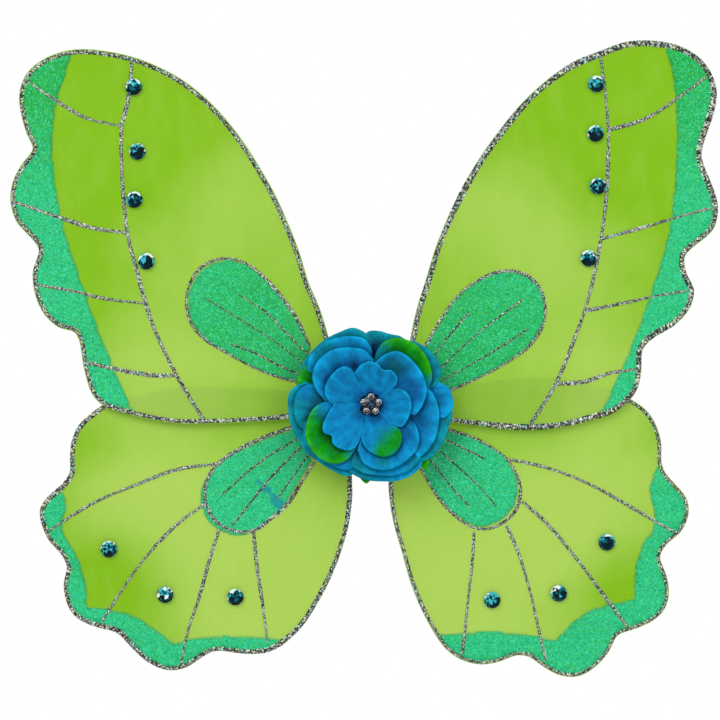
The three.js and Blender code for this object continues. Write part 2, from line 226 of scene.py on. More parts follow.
def nylon_finish():
    """Sheer lime knit, dyed deeper at the wing tips, with painted shade under and round the flower and where
    the wings overlap.
    """
    shade = Shade("sheer_nylon")
    where = shade.place()
    far = shade.length(where)
    wide = shade.axis(where, 0).math("ABSOLUTE")
    high = shade.axis(where, 2)
    cloud = shade.noise(where, 13.0, 3.0)
    tips = (far + cloud * 0.05).over(0.17, 0.29)
    low_tip = shade.node("ShaderNodeCombineXYZ", None, {0: wide - LOW_TIP[0], 2: high - LOW_TIP[1]})
    low_tip = (1 - (shade.length(low_tip) + cloud * 0.03).over(0.01, 0.07)) * 0.6
    # Painted shade: the next two terms deepen the lime under and round the flower, and where the wings
    # overlap.
    heart_shade = (1 - far.over(0.05, 0.16)) * 0.35
    overlap_shade = (1 - (high - OVERLAP_SHADE_HIGH).math("ABSOLUTE").over(0.012, 0.05)) * 0.35
    upper = high.over(0.0, 0.06) * 0.42
    dye = (tips + low_tip + heart_shade + overlap_shade + upper + (cloud - 0.5) * 0.55).over(0.0, 1.1)
    colour = shade.mix(dye, (0.52, 0.745, 0.135), (0.255, 0.57, 0.0))
    streaks = shade.noise(shade.place((1.0, 1.0, 0.5)), 90.0, 3.0)
    colour = shade.mix(streaks.over(0.4, 0.75) * 0.10, colour, (0.62, 0.86, 0.2))
    rows = shade.node("ShaderNodeTexWave", {"bands_direction": "Z"},
                      {"Vector": where, "Scale": 380.0, "Distortion": 1.5, "Detail": 1.0})
    columns = shade.node("ShaderNodeTexWave", {"bands_direction": "X"},
                         {"Vector": where, "Scale": 300.0, "Distortion": 1.0})
    knit = rows * columns
    shade.set(Base_Color=colour, Roughness=0.55, Specular_IOR_Level=0.25, Sheen_Weight=0.12)
    shade.set(Normal=shade.bump(knit, 0.00012, 0.5))
    shade.see_through(knit * 0.06 + 0.70, tint=(0.66, 0.90, 0.14))
    return shade.material


def silver_flake_finish():
    """Cut silver foil: each flake has its own brightness, painted on its corners."""
    shade = Shade("silver_flakes")
    tone = shade.painted("flake")
    grain = shade.noise(shade.place(), 2600.0, 1.0)
    colour = shade.mix(grain.over(0.3, 0.7) * 0.15, tone, (0.02, 0.025, 0.025))
    shade.set(Base_Color=colour, Metallic=0.2, Roughness=0.35)
    return shade.material


def teal_paint_finish():
    """Teal glitter paint: flakes of several greens in a teal binder, thin at its edge, with painted shade
    round the flower.
    """
    shade = Shade("teal_glitter")
    where = shade.place()
    across, high = shade.axis(where, 0), shade.axis(where, 2)
    far = shade.length(where)
    near_heart = (1 - far.over(0.11, 0.17)) * high.over(-0.03, 0.03)
    base = shade.mix(near_heart * 0.7 + high.over(0.12, 0.21), (0.016, 0.56, 0.215), (0.006, 0.42, 0.05))
    patch = shade.noise(where, 30.0, 3.0)
    base = shade.mix(patch.over(0.5, 0.75) * 0.35, base, (0.012, 0.44, 0.12))
    base = shade.mix((1 - patch).over(0.5, 0.75) * 0.3, base, (0.02, 0.60, 0.26))
    cell = shade.flakes(where, 1300.0)
    tone = shade.split(cell)
    colour = shade.mix(tone.over(0.70, 0.95) * 0.62, base, (0.07, 0.90, 0.42))
    colour = shade.mix((1 - tone).over(0.68, 0.95) * 0.6, colour, (0.002, 0.26, 0.07))
    colour = shade.mix(shade.split(cell, 1).over(0.7, 0.9) * 0.4, colour, (0.11, 0.62, 0.06))
    colour = shade.mix(shade.split(cell, 2).over(0.72, 0.92) * 0.4, colour, (0.0, 0.50, 0.38))
    # Painted shade: darker green close round the flower.
    colour = shade.mix((1 - far.over(0.035, 0.075)) * 0.6, colour, (0.0, 0.20, 0.05))
    along = (across - high - (SMUDGE[0] - SMUDGE[1])) * 48
    aside = (across + high - (SMUDGE[0] + SMUDGE[1])) * 190
    ragged = (shade.noise(where, 210.0, 3.0) - 0.5) * 4.5
    bled = 1 - (along * along + aside * aside + ragged)
    colour = shade.mix(bled.over(0.0, 0.8) * 0.75, colour, (0.0, 0.25, 0.34))
    shade.set(Base_Color=colour, Roughness=0.45, Specular_IOR_Level=0.2, Normal=shade.tilted(cell, 0.5))
    cover = shade.split(shade.painted("cover")) + (tone - 0.5) * 0.12
    shade.see_through(cover.over(0.05, 0.75))
    return shade.material


def stone_finish():
    """Foil-backed acrylic stones: every facet carries its own teal, painted as the reflection it shows."""
    shade = Shade("teal_stone")
    tone = shade.painted("facet")
    haze = shade.noise(shade.place(), 900.0, 2.0)
    colour = shade.mix(haze.over(0.45, 0.8) * 0.2, tone, (0.001, 0.05, 0.07))
    shade.set(Base_Color=colour, Roughness=0.10, Specular_IOR_Level=0.12)
    return shade.material


def petal_finish(name):
    """Dyed petal cloth: its colours with painted shade and painted highlights, carried on the petal, with
    fine fibres running to its rim.
    """
    shade = Shade(name)
    tone = shade.painted("dye")
    fibres = shade.noise(shade.sewn((58.0, 1.6, 1.0)), 1.0, 3.0, 0.55)
    cloth = shade.noise(shade.place(), 210.0, 5.0, 0.7)
    colour = shade.mix(fibres.over(0.5, 0.8) * 0.36, tone, (0.0, 0.22, 0.30), "SCREEN")
    colour = shade.mix((1 - fibres).over(0.5, 0.8) * 0.40, colour, (0.2, 0.52, 0.66), "MULTIPLY")
    colour = shade.mix(cloth.over(0.45, 0.68) * 0.55, colour, (0.2, 0.58, 0.72), "MULTIPLY")
    colour = shade.mix((1 - cloth).over(0.52, 0.75) * 0.5, colour, (0.0, 0.12, 0.14), "SCREEN")
    weave = shade.noise(shade.place(), 1900.0, 2.0)
    height = fibres * 0.5 + weave * 0.3 + cloth * 0.8
    shade.set(Base_Color=colour, Roughness=0.75, Specular_IOR_Level=0.12)
    shade.set(Sheen_Weight=0.1, Sheen_Roughness=0.4)
    shade.set(Normal=shade.bump(height, 0.0006, 0.6))
    return shade.material


def silver_finish(name, bright, tarnish_and_shade):
    """Cast metal, tarnished in patches where a noise falls; given dark colours, as for the back plate, it is
    painted shade.
    """
    shade = Shade(name)
    wear = shade.noise(shade.place(), 700.0, 4.0)
    colour = shade.mix(wear.over(0.45, 0.7) * 0.8, bright, tarnish_and_shade)
    shade.set(Base_Color=colour, Metallic=1.0, Roughness=wear * 0.15 + 0.1)
    shade.set(Normal=shade.bump(wear, 0.0001, 0.3))
    return shade.material


def crystal_finish():
    """Clear crystal over foil: every facet carries its own grey, painted as the reflection it shows."""
    shade = Shade("clear_crystal")
    tone = shade.painted("facet")
    haze = shade.noise(shade.place(), 1500.0, 1.0)
    shade.set(Base_Color=shade.mix(haze * 0.2, tone, (0.4, 0.42, 0.4)), Roughness=0.04)
    shade.set(Metallic=0.15, Coat_Weight=0.6, Coat_Roughness=0.02)
    return shade.material


def heart_stone_finish():
    """The brooch's dark blue middle stone."""
    shade = Shade("dark_heart_stone")
    cell = shade.flakes(shade.place(), 900.0)
    bright = shade.split(cell).over(0.55, 0.95)
    colour = shade.mix(bright * 0.6, (0.002, 0.03, 0.07), (0.01, 0.16, 0.3))
    shade.set(Base_Color=colour, Roughness=0.07, Coat_Weight=1.0)
    return shade.material


def steel_finish():
    """The wings' drawn wire, a little dull."""
    shade = Shade("drawn_wire")
    marks = shade.noise(shade.place(), 420.0, 5.0)
    colour = shade.mix(marks.over(0.4, 0.75), (0.34, 0.35, 0.35), (0.62, 0.63, 0.62))
    shade.set(Base_Color=colour, Metallic=1.0, Roughness=marks * 0.25 + 0.25)
    return shade.material


def woven_finish(name, dark, light, across, along, shaded_folds=False):
    """Woven webbing: ribs along the band and fine cross threads, from its UV map in millimetres, and painted
    shade in the folds when asked.
    """
    shade = Shade(name)
    where = shade.sewn()
    ribs = shade.node("ShaderNodeTexWave", {"bands_direction": "X"}, {"Vector": where, "Scale": across})
    threads = shade.node("ShaderNodeTexWave", {"bands_direction": "Y"},
                         {"Vector": where, "Scale": along, "Distortion": 0.6})
    fuzz = shade.noise(shade.place(), 1400.0, 3.0)
    weave = ribs * 0.6 + threads * 0.4
    colour = shade.mix(weave.over(0.2, 0.8), dark, light)
    colour = shade.mix(fuzz.over(0.4, 0.8) * 0.25, colour, light)
    if shaded_folds:
        # Painted shade: the colour is darkened by the painted fold shade.
        colour = shade.mix(1.0, colour, shade.painted("fold"), "MULTIPLY")
    shade.set(Base_Color=colour, Roughness=0.85, Sheen_Weight=0.3)
    shade.set(Normal=shade.bump(weave + fuzz * 0.3, 0.0003, 0.6))
    return shade.material


def felt_finish(name, dark, light):
    """Pressed fibres, clumped darker here and there."""
    shade = Shade(name)
    where = shade.place()
    fibre = shade.noise(where, 900.0, 5.0, 0.7)
    clump = shade.noise(where, 160.0, 3.0)
    colour = shade.mix(fibre.over(0.3, 0.7), dark, light)
    colour = shade.mix(clump.over(0.4, 0.8) * 0.35, colour, dark)
    shade.set(Base_Color=colour, Roughness=0.95, Sheen_Weight=0.6, Sheen_Roughness=0.5)
    shade.set(Normal=shade.bump(fibre + clump * 0.5, 0.0004, 0.6))
    return shade.material


def floor_finish():
    """Pale, matt and plain."""
    shade = Shade("studio_floor")
    cloud = shade.noise(shade.place(), 3.0, 2.0)
    shade.set(Base_Color=shade.mix(cloud, (0.84, 0.84, 0.84), (0.87, 0.87, 0.87)), Roughness=0.8)
    return shade.material


# ---------------------------------------------------------------- geometry helpers

def curve_between(p0, p1, p2, p3, steps):
    """The centripetal curve from p1 towards p2."""
    gaps = [max(1e-6, float(np.linalg.norm(b - a))) ** 0.5 for a, b in ((p0, p1), (p1, p2), (p2, p3))]
    k0, k1, k2, k3 = np.cumsum([0.0, *gaps])
    t = np.linspace(k1, k2, steps, endpoint=False)[:, None]
    a1 = ((k1 - t) * p0 + (t - k0) * p1) / (k1 - k0)
    a2 = ((k2 - t) * p1 + (t - k1) * p2) / (k2 - k1)
    a3 = ((k3 - t) * p2 + (t - k2) * p3) / (k3 - k2)
    b1 = ((k2 - t) * a1 + (t - k0) * a2) / (k2 - k0)
    b2 = ((k3 - t) * a2 + (t - k1) * a3) / (k3 - k1)
    return ((k2 - t) * b1 + (t - k1) * b2) / (k2 - k1)


def smooth_line(points, steps=6):
    """A smooth open line through the points."""
    points = np.array(points, float)
    ends = [2 * points[0] - points[1], *points, 2 * points[-1] - points[-2]]
    spans = [curve_between(*four, steps) for four in zip(ends, ends[1:], ends[2:], ends[3:])]
    return np.vstack([*spans, points[-1:]])


def smooth_loop(points, steps=6):
    """A smooth closed line through the points, without repeating the first."""
    points = np.array(points, float)
    ends = [points[-1], *points, points[0], points[1]]
    return np.vstack([curve_between(*four, steps) for four in zip(ends, ends[1:], ends[2:], ends[3:])])


def lengths_along(points):
    """How far along an open line each of its points lies."""
    return np.concatenate([[0], np.cumsum(np.linalg.norm(np.diff(points, axis=0), axis=1))])


def evenly(points, count):
    """The same line with count points at equal distances."""
    lengths = lengths_along(points)
    wanted = np.linspace(0, lengths[-1], count)
    return np.column_stack([np.interp(wanted, lengths, points[:, i]) for i in range(points.shape[1])])


def length_of(points):
    return float(np.linalg.norm(np.diff(points, axis=0), axis=1).sum())


def direction(line, closed):
    """The unit direction of a line at each of its points."""
    run = np.roll(line, -1, axis=0) - np.roll(line, 1, axis=0) if closed else np.gradient(line, axis=0)
    return run / np.linalg.norm(run, axis=1)[:, None]


def box_of(node):
    """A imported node's lowest and highest corners, in millimetres."""
    return [np.array(corner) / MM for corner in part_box(node)]


def middle_of(node):
    """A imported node's middle and half its size, in millimetres."""
    low, high = box_of(node)
    return (low + high) / 2, (high - low) / 2


def make_mesh(name, vertices, faces, material, smooth=True):
    """A piece from its points in metres, with every face turned outwards."""
    mesh = bpy.data.meshes.new(name)
    mesh.from_pydata([tuple(v) for v in vertices], [], [tuple(int(i) for i in f) for f in faces])
    mesh.validate()
    mesh.materials.append(material)
    mesh.polygons.foreach_set("use_smooth", [smooth] * len(mesh.polygons))
    obj = bpy.data.objects.new(name, mesh)
    bpy.context.scene.collection.objects.link(obj)
    work = bmesh.new()
    work.from_mesh(mesh)
    bmesh.ops.recalc_face_normals(work, faces=work.faces)
    work.to_mesh(mesh)
    work.free()
    return obj


def paint(obj, name, colours):
    """Gives every vertex of the piece its own colour."""
    layer = obj.data.color_attributes.new(name, "FLOAT_COLOR", "POINT")
    data = np.ones((len(obj.data.vertices), 4), np.float32)
    data[:, :3] = colours
    layer.data.foreach_set("color", data.ravel())


def pattern(obj, corners):
    """Gives the piece a UV map from one (u, v) for each vertex."""
    layer = obj.data.uv_layers.new(name="pattern")
    index = np.zeros(len(obj.data.loops), np.int32)
    obj.data.loops.foreach_get("vertex_index", index)
    layer.data.foreach_set("uv", np.asarray(corners, np.float32)[index].ravel())


def apply_modifiers(obj):
    bpy.context.view_layer.update()
    graph = bpy.context.evaluated_depsgraph_get()
    mesh = bpy.data.meshes.new_from_object(obj.evaluated_get(graph), depsgraph=graph)
    obj.modifiers.clear()
    obj.data = mesh


def grid_faces(rows, columns, closed=False):
    """Quads of a grid of rows by columns, whose last column can join its first."""
    faces = []
    for r in range(rows - 1):
        for c in range(columns if closed else columns - 1):
            d = (c + 1) % columns
            faces.append((r * columns + c, r * columns + d, (r + 1) * columns + d, (r + 1) * columns + c))
    return faces


def end_faces(rows, columns):
    """The two ends of a closed grid."""
    return [tuple(range(columns)), tuple((rows - 1) * columns + c for c in reversed(range(columns)))]


def finish_piece(obj, body, slot, replaced=()):
    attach(obj, body)
    if replaced:
        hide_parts(*replaced)
    return obj


def inside(polygon, points):
    """Which points lie inside the closed polygon."""
    x, z = points[:, 0], points[:, 1]
    within = np.zeros(len(points), bool)
    for (x0, z0), (x1, z1) in zip(polygon, np.roll(polygon, -1, axis=0)):
        if z0 == z1:
            continue
        crosses = (z0 > z) != (z1 > z)
        within ^= crosses & (x < (x1 - x0) * (z - z0) / (z1 - z0) + x0)
    return within


def distance_to(loop, points):
    """Each point's distance to the closed line."""
    best = np.full(len(points), 1e9)
    for a, b in zip(loop, np.roll(loop, -1, axis=0)):
        run = b - a
        along = np.clip((points - a) @ run / max(1e-9, run @ run), 0, 1)
        best = np.minimum(best, np.linalg.norm(points - a - along[:, None] * run, axis=1))
    return best


def outwards(loop):
    """The unit normals of a closed line, pointing out of it."""
    run = direction(loop, closed=True)
    normal = np.column_stack([run[:, 1], -run[:, 0]])
    x, z = loop.T
    clockwise = np.sum(x * np.roll(z, -1) - np.roll(x, -1) * z) < 0
    return -normal if clockwise else normal


def fill_outline(loop, cuts, spacing):
    """Triangles that fill a closed line, with an edge along every cut. Returns points and faces."""
    points = [Vector(p) for p in loop]
    edges = [(i, (i + 1) % len(loop)) for i in range(len(loop))]
    for cut in cuts:
        first = len(points)
        points += [Vector(p) for p in cut]
        edges += [(first + i, first + i + 1) for i in range(len(cut) - 1)]
    low, high = loop.min(axis=0), loop.max(axis=0)
    rows = np.arange(low[1], high[1], spacing * 0.866)
    columns = np.arange(low[0], high[0], spacing)
    grid = np.array([(x + spacing / 2 * (i % 2), z) for i, z in enumerate(rows) for x in columns])
    grid = grid[inside(loop, grid)]
    far = distance_to(loop, grid) > spacing * 0.6
    for cut in cuts:
        far &= distance_to(np.vstack([cut, cut[::-1]]), grid) > spacing * 0.6
    points += [Vector(p) for p in grid[far]]
    made = delaunay_2d_cdt(points, edges, [], 1, 1e-4)
    corners = np.array([tuple(p) for p in made[0]])
    faces = np.array(made[2])
    return corners, faces[np.abs(turn_of(corners, faces)) > 1e-6]


def turn_of(corners, faces):
    """Twice each triangle's area, below zero where it turns clockwise."""
    a, b, c = (corners[faces[:, i]] for i in range(3))
    return (b[:, 0] - a[:, 0]) * (c[:, 1] - a[:, 1]) - (b[:, 1] - a[:, 1]) * (c[:, 0] - a[:, 0])


def orient(corners, faces):
    """The triangles turned the same way round."""
    return np.where((turn_of(corners, faces) < 0)[:, None], faces[:, ::-1], faces)


def used_only(corners, faces):
    """The same faces with only the corners that they use."""
    kept, index = np.unique(faces, return_inverse=True)
    return corners[kept], index.reshape(faces.shape)


def thicken(front, back, faces):
    """A closed shell from two matching layers: faces on the first, turned round on the second, and walls."""
    count = len(front)
    faces = [tuple(int(i) for i in f) for f in faces]
    edges = {(f[i], f[(i + 1) % len(f)]) for f in faces for i in range(len(f))}
    rim = [(a, b) for a, b in edges if (b, a) not in edges]
    shell = faces + [tuple(i + count for i in reversed(f)) for f in faces]
    shell += [(b, a, a + count, b + count) for a, b in sorted(rim)]
    return np.vstack([front, back]), shell


# ------------------------------------------------- the wings' patterns, as (x, z) in millimetres

VEINS = {
    "left_upper": [
        [(-159, 230), (-162, 202), (-166, 185), (-166, 155), (-164, 127), (-162, 112), (-154.5, 83),
         (-150, 67), (-143.5, 48), (-130, 20), (-115, -5), (-109, -13)],
        [(-230, 216), (-209.6, 202), (-190.7, 191), (-166, 185)],
        [(-237, 134.5), (-209.6, 125), (-184, 117), (-161.6, 114)],
        [(-223.7, 79.5), (-200, 75.5), (-176.5, 70), (-150, 67)],
        [(-189, 27.5), (-169, 23), (-145, 19), (-130, 19)],
    ],
    "right_upper": [
        [(152.7, 233.6), (156, 208), (158, 186), (158, 161), (156.7, 136), (153.5, 111), (149, 87),
         (143, 64), (135.5, 43), (123, 13), (106, -14)],
        [(158, 182.5), (182.7, 190), (206, 205), (223.5, 218)],
        [(153.5, 110), (182.7, 118), (206, 125), (226.7, 130.5)],
        [(143, 62), (167, 67), (190.5, 72), (211, 75.5)],
        [(123, 13.4), (143, 15), (159, 20.5), (177, 23)],
    ],
    "left_lower": [
        [(-101.5, -40), (-130, -44), (-156.6, -54), (-185, -66), (-217, -86)],
        [(-110.5, -66.6), (-130, -81), (-151, -103), (-170, -130), (-180, -146)],
        [(-101, -83), (-107.5, -103), (-115, -130), (-122.4, -152), (-127, -174.5)],
        [(-78.5, -85), (-76, -110.5), (-72, -137), (-69, -161)],
    ],
    "right_lower": [
        [(90.5, -36.6), (118.6, -43), (146.7, -54), (174.7, -69.6), (203, -86)],
        [(101, -65), (118.6, -81), (137, -103), (155, -127), (172, -150)],
        [(90.5, -81), (99, -100.5), (106, -124), (111.6, -148), (117, -172)],
        [(69, -85), (68, -103), (65, -131), (61, -168)],
    ],
}

# The inner edge of each wing's teal margin, one list for each scallop
MARGINS = {
    "left_upper": [[(-198, 234), (-202, 221), (-209, 197), (-211, 175), (-209.6, 149), (-204, 119),
                    (-195, 90.5), (-184, 59), (-172, 29), (-161, 3), (-154, -11)]],
    "right_upper": [[(195, 238), (200, 218), (202.7, 186), (202, 155), (197.6, 116), (186, 76), (171.6, 37),
                     (156, 3), (147, -12)]],
    "left_lower": [
        [(-206.5, -57), (-203, -64), (-203, -73), (-205, -79), (-204, -87), (-198, -97), (-192, -110.5),
         (-189, -125), (-189, -135)],
        [(-189, -135), (-174.5, -136.5), (-160, -140), (-146, -148), (-137, -155), (-131, -159)],
        [(-131, -159), (-121, -156), (-103, -154), (-85, -154), (-70, -155), (-58, -157)],
    ],
    "right_lower": [
        [(192, -40), (187, -48.5), (185, -58), (188, -71), (188, -81), (180, -95), (176, -107.5),
         (175, -119), (175, -130)],
        [(175, -130), (158, -133), (144, -138), (131, -148), (123, -157)],
        [(123, -157), (112, -154.5), (95, -152), (78, -151), (60, -152), (46, -153)],
    ],
}

TEARDROPS = {
    "left_upper": [(-41, 38.5), (-49, 56), (-58.5, 70), (-71, 84), (-84, 94), (-98, 97), (-112, 92),
                   (-121, 79.5), (-123, 67), (-120, 54), (-110.5, 43), (-96, 34), (-77.5, 24), (-58.5, 17),
                   (-46, 14.5)],
    "right_upper": [(36, 38), (47, 57), (58, 72), (72.5, 83), (88, 88.5), (102, 86.5), (112, 78), (116, 65),
                    (114, 51), (105.5, 38.5), (93, 29), (77, 20), (55, 10), (45, 7)],
    "left_lower": [(-44, -13), (-54, -16), (-73, -23), (-91, -32), (-103, -41), (-110, -52.5),
                   (-110.5, -66), (-103, -79), (-91, -85), (-78, -84.5), (-66, -76), (-55, -66),
                   (-46.5, -52.5), (-36, -36)],
    "right_lower": [(44, -15), (54, -18), (67, -22), (78, -27.5), (89, -35), (96, -44), (100, -57),
                    (97.5, -70), (89, -79), (78, -83.6), (67, -82), (55.5, -74), (46, -64), (37, -50),
                    (32, -40)],
}

TEARDROP_LINES = {
    "left_upper": [[(-88.5, 73), (-71, 62), (-55, 46), (-42, 33)],
                   [(-111, 71), (-90, 58), (-66, 43), (-45, 27)],
                   [(-94, 40), (-77.5, 34), (-62, 26), (-48, 19.5)]],
    "right_upper": [[(66, 62), (46, 38), (40, 29)], [(102, 70), (80, 54), (61.5, 38.5), (43, 20)],
                    [(105, 50), (80, 34), (47, 15.5)]],
    "left_lower": [[(-46, -21.5), (-73, -38), (-100, -61)], [(-44, -26), (-67, -49.5), (-93, -82)],
                   [(-40, -31), (-50, -46), (-63, -64)]],
    "right_lower": [[(46, -22), (76.5, -37)], [(42, -28), (62.5, -46), (75, -58), (84, -69)],
                    [(37, -34), (54, -55.5), (66, -69)]],
}

# How far the teal fill sits from its silver line, as (x, z)
FILL_SHIFT = {"left_upper": (1, -1), "right_upper": (0, 0),
              "left_lower": (-3, -2.5), "right_lower": (-1.5, 1.5)}


class Wing:
    """One wing's cloth: where its wire runs and how high its nylon stands."""

    def __init__(self, name):
        self.name = name
        self.body = name + "_wing"
        edge, self.front = self.read_edge(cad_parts[name + "_sleeve"].data)
        self.middle = self.front + WIRE_INSET
        edge = smooth_loop(edge, 5)
        edge = np.vstack([edge, edge[:1]])
        self.edge = evenly(edge, int(length_of(edge) / EDGE_STEP) + 1)[:-1]
        self.out = outwards(self.edge)
        self.wire = self.edge - self.out * WIRE_INSET
        self.side = -1 if name.startswith("left") else 1
        self.level = name.split("_")[1]
        self.root = np.array([self.side * 20.0, 3.0 if self.level == "upper" else -3.0])

    def read_edge(self, mesh):
        """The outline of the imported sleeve's front face, and how far forward it is."""
        work = bmesh.new()
        work.from_mesh(mesh)
        bmesh.ops.remove_doubles(work, verts=work.verts, dist=2e-6)
        front = min(v.co.y for v in work.verts)
        flat = {f for f in work.faces if f.normal.y < -0.9 and abs(f.calc_center_median().y - front) < 1e-4}
        links = {}
        for edge in work.edges:
            if sum(f in flat for f in edge.link_faces) == 1:
                for one, other in (edge.verts, reversed(edge.verts)):
                    links.setdefault(one, []).append(other)
        first = min(links, key=lambda v: abs(v.co.x))
        loop = [first]
        here, before = links[first][0], first
        while here != first:
            loop.append(here)
            here, before = next(v for v in links[here] if v != before), here
        outline = np.array([(v.co.x / MM, v.co.z / MM) for v in loop])
        work.free()
        return outline, front / MM

    def swell(self, points):
        """Half the bag's thickness at each point: full at the wire, flat inside it, round outside it."""
        far = distance_to(self.wire, points)
        slack, fall = 0.5, 9
        flat = slack + (SKIN_HALF - slack) * np.exp(-far / fall)
        turned = np.sqrt(np.maximum(0.04, SKIN_HALF ** 2 - far ** 2))
        return np.where(inside(self.wire, points) | (far < 0.01), flat, turned)

    def wave(self, points):
        """Slack and tension creases, which run from the root and die out at the wire."""
        x, z = (points - self.root).T
        far = np.hypot(x, z)
        turn = np.arctan2(z, np.abs(x))
        calm = 1 - np.exp(-distance_to(self.wire, points) / 12)
        crease = np.sin(turn * 21 + np.sin(far / 38) * 1.7) * 0.22 * np.exp(-far / 120)
        slack = np.sin(x / 31 + z / 47 + self.side) * np.sin(z / 29 - x / 53) * 0.35
        return (crease + slack) * calm

    def face(self, points, above=0.0):
        """The front of the nylon at (x, z), lifted by above."""
        return self.middle + self.wave(points) - self.swell(points) - above

    def place(self, points, y):
        """Points on the wing, in metres."""
        return np.column_stack([points[:, 0], y, points[:, 1]]) * MM


def make_skin(wing):
    """Both layers of the nylon bag and its turn round the wire, as one closed piece."""
    corners, faces = fill_outline(wing.wire, [], 5.0)
    faces = orient(corners, faces)
    area = turn_of(corners, faces).sum() / 2
    swell, wave = wing.swell(corners), wing.wave(corners)
    count, rim = len(corners), len(wing.wire)
    front = wing.place(corners, wing.middle + wave - swell)
    back = wing.place(corners, wing.middle + wave + swell)
    around = np.radians([36, 72, 108, 144])
    rounds = [wing.place(wing.wire + wing.out * SKIN_HALF * math.sin(t),
                         np.full(rim, wing.middle - SKIN_HALF * math.cos(t))) for t in around]
    vertices = np.vstack([front, back, *rounds])
    nearest = [int(np.argmin(np.linalg.norm(corners - p, axis=1))) for p in wing.wire]
    loops = [nearest, *([2 * count + k * rim + i for i in range(rim)] for k in range(len(around))),
             [count + i for i in nearest]]
    skin = [tuple(f) for f in faces] + [tuple(i + count for i in f[::-1]) for f in faces]
    for one, other in zip(loops, loops[1:]):
        skin += [(one[i], one[(i + 1) % rim], other[(i + 1) % rim], other[i]) for i in range(rim)]
    obj = make_mesh(wing.name + "_nylon", vertices, skin, NYLON)
    finish_piece(obj, wing.body, "nylon", [wing.name + "_sleeve"])


def bead(wing, line, width, closed, random):
    """A glued bead of glitter along a line: jagged little faces over a flat underside."""
    step = RIM_STEP if closed else LINE_STEP
    if closed:
        line = np.vstack([line, line[:1]])
    count = max(4, int(length_of(line) / step))
    path = evenly(line, count + 1)[:-1] if closed else evenly(line, count)
    run = direction(path, closed)
    across = np.column_stack([-run[:, 1], run[:, 0]])
    reach = np.array([-1, -0.5, 0, 0.5, 1]) if width > 1.6 else np.array([-1, -0.3, 0.3, 1])
    rows, columns = len(path), len(reach)
    number = np.arange(rows)

    def jitter(most):
        return random.uniform(-most, most, (rows, columns))

    slow = np.sin(number * step / 13 + wing.side) * np.sin(number * step / 37) * 0.18
    wander = random.standard_normal((rows, 1)).cumsum(axis=0) / np.sqrt(number + 1)[:, None]
    waver = np.clip(1 + slow[:, None] + 0.16 * wander, 0.7, 1.3)
    spread = reach[None, :] * width / 2 * waver + jitter(0.14)
    rise = np.sqrt(np.clip(1 - reach ** 2, 0, 1))[None, :] * LINE_HEIGHT
    rise = rise + jitter(0.16) * (np.abs(reach) < 0.9)[None, :]
    if not closed:
        taper = np.clip(np.minimum(number, number[::-1]) / 2.0, 0.25, 1)[:, None]
        spread, rise = spread * taper, rise * taper
    slip = jitter(0.2)
    flat = path[:, None, :] + across[:, None, :] * spread[..., None] + run[:, None, :] * slip[..., None]
    points = np.concatenate([flat, path[:, None, :]], axis=1).reshape(-1, 2)
    lift = np.concatenate([rise + 0.12, np.full((rows, 1), -LINE_SUNK)], axis=1).reshape(-1)
    vertices = wing.place(points, wing.face(points, lift))
    faces = []
    wide = columns + 1
    for r in range(rows if closed else rows - 1):
        s = (r + 1) % rows
        for c in range(wide):
            d = (c + 1) % wide
            p, q, t, u = r * wide + c, r * wide + d, s * wide + d, s * wide + c
            faces += [(p, q, t), (p, t, u)] if (r + c) % 2 else [(p, q, u), (q, t, u)]
    return vertices, faces if closed else faces + end_faces(rows, wide)


def make_glitter(wing, random):
    """All of a wing's silver lines: each one's width, whether it is closed, and its share of black."""
    rim_width = RIM_WIDTH[wing.level]
    lines = [(wing.edge - wing.out * (rim_width / 2 + RIM_INSET), rim_width, True, 0.46)]
    lines += [(smooth_line(v), VEIN_WIDTH[wing.level], False, 0.30) for v in VEINS[wing.name]]
    lines.append((smooth_line(TEARDROPS[wing.name]), DROP_WIDTH, False, 0.40))
    lines += [(smooth_line(v), FINE_WIDTH, False, 0.58) for v in TEARDROP_LINES[wing.name]]
    beads, tones = [], []
    for line, width, closed, dark in lines:
        beads.append(bead(wing, line, width, closed, random))
        tones.append(flake_tones(len(beads[-1][1]), dark, random))
    vertices, faces = joined(beads)
    obj = make_mesh(wing.name + "_silver_lines", vertices, faces, SILVER_FLAKES, smooth=False)
    paint_faces(obj, "flake", np.vstack(tones))
    finish_piece(obj, wing.body, "glitter_silver")


def flake_tones(count, dark, random):
    """Black, grey and white flakes, some tinted green or yellow. Faces in pairs share a flake."""
    flakes = count // 2 + 1
    pick, hue = random.random(flakes), random.random(flakes)
    black = random.uniform(0.0, 0.04, flakes)
    grey = random.uniform(0.14, 0.44, flakes)
    white = random.uniform(0.6, 1.0, flakes)
    tone = np.where(pick < dark, black, np.where(pick > 0.80, white, grey))
    tint = np.column_stack([tone * 0.94, tone, tone * 0.88])
    tint[hue < 0.16] *= (0.45, 1.0, 1.05)
    tint[hue > 0.84] *= (0.95, 1.0, 0.40)
    return np.repeat(tint, 2, axis=0)[:count]


def paint_faces(obj, name, colours):
    """Gives every face of the piece its own colour."""
    layer = obj.data.color_attributes.new(name, "FLOAT_COLOR", "CORNER")
    sizes = np.zeros(len(obj.data.polygons), np.int32)
    obj.data.polygons.foreach_get("loop_total", sizes)
    data = np.ones((int(sizes.sum()), 4), np.float32)
    data[:, :3] = np.repeat(colours, sizes, axis=0)
    layer.data.foreach_set("color", data.ravel())


def film(wing, corners, faces):
    """A closed skin of glitter paint on the nylon."""
    points, faces = used_only(corners, faces)
    faces = orient(points, faces)
    front = wing.place(points, wing.face(points, FILM))
    back = wing.place(points, wing.face(points, -FILM_SUNK))
    return thicken(front, back, faces)


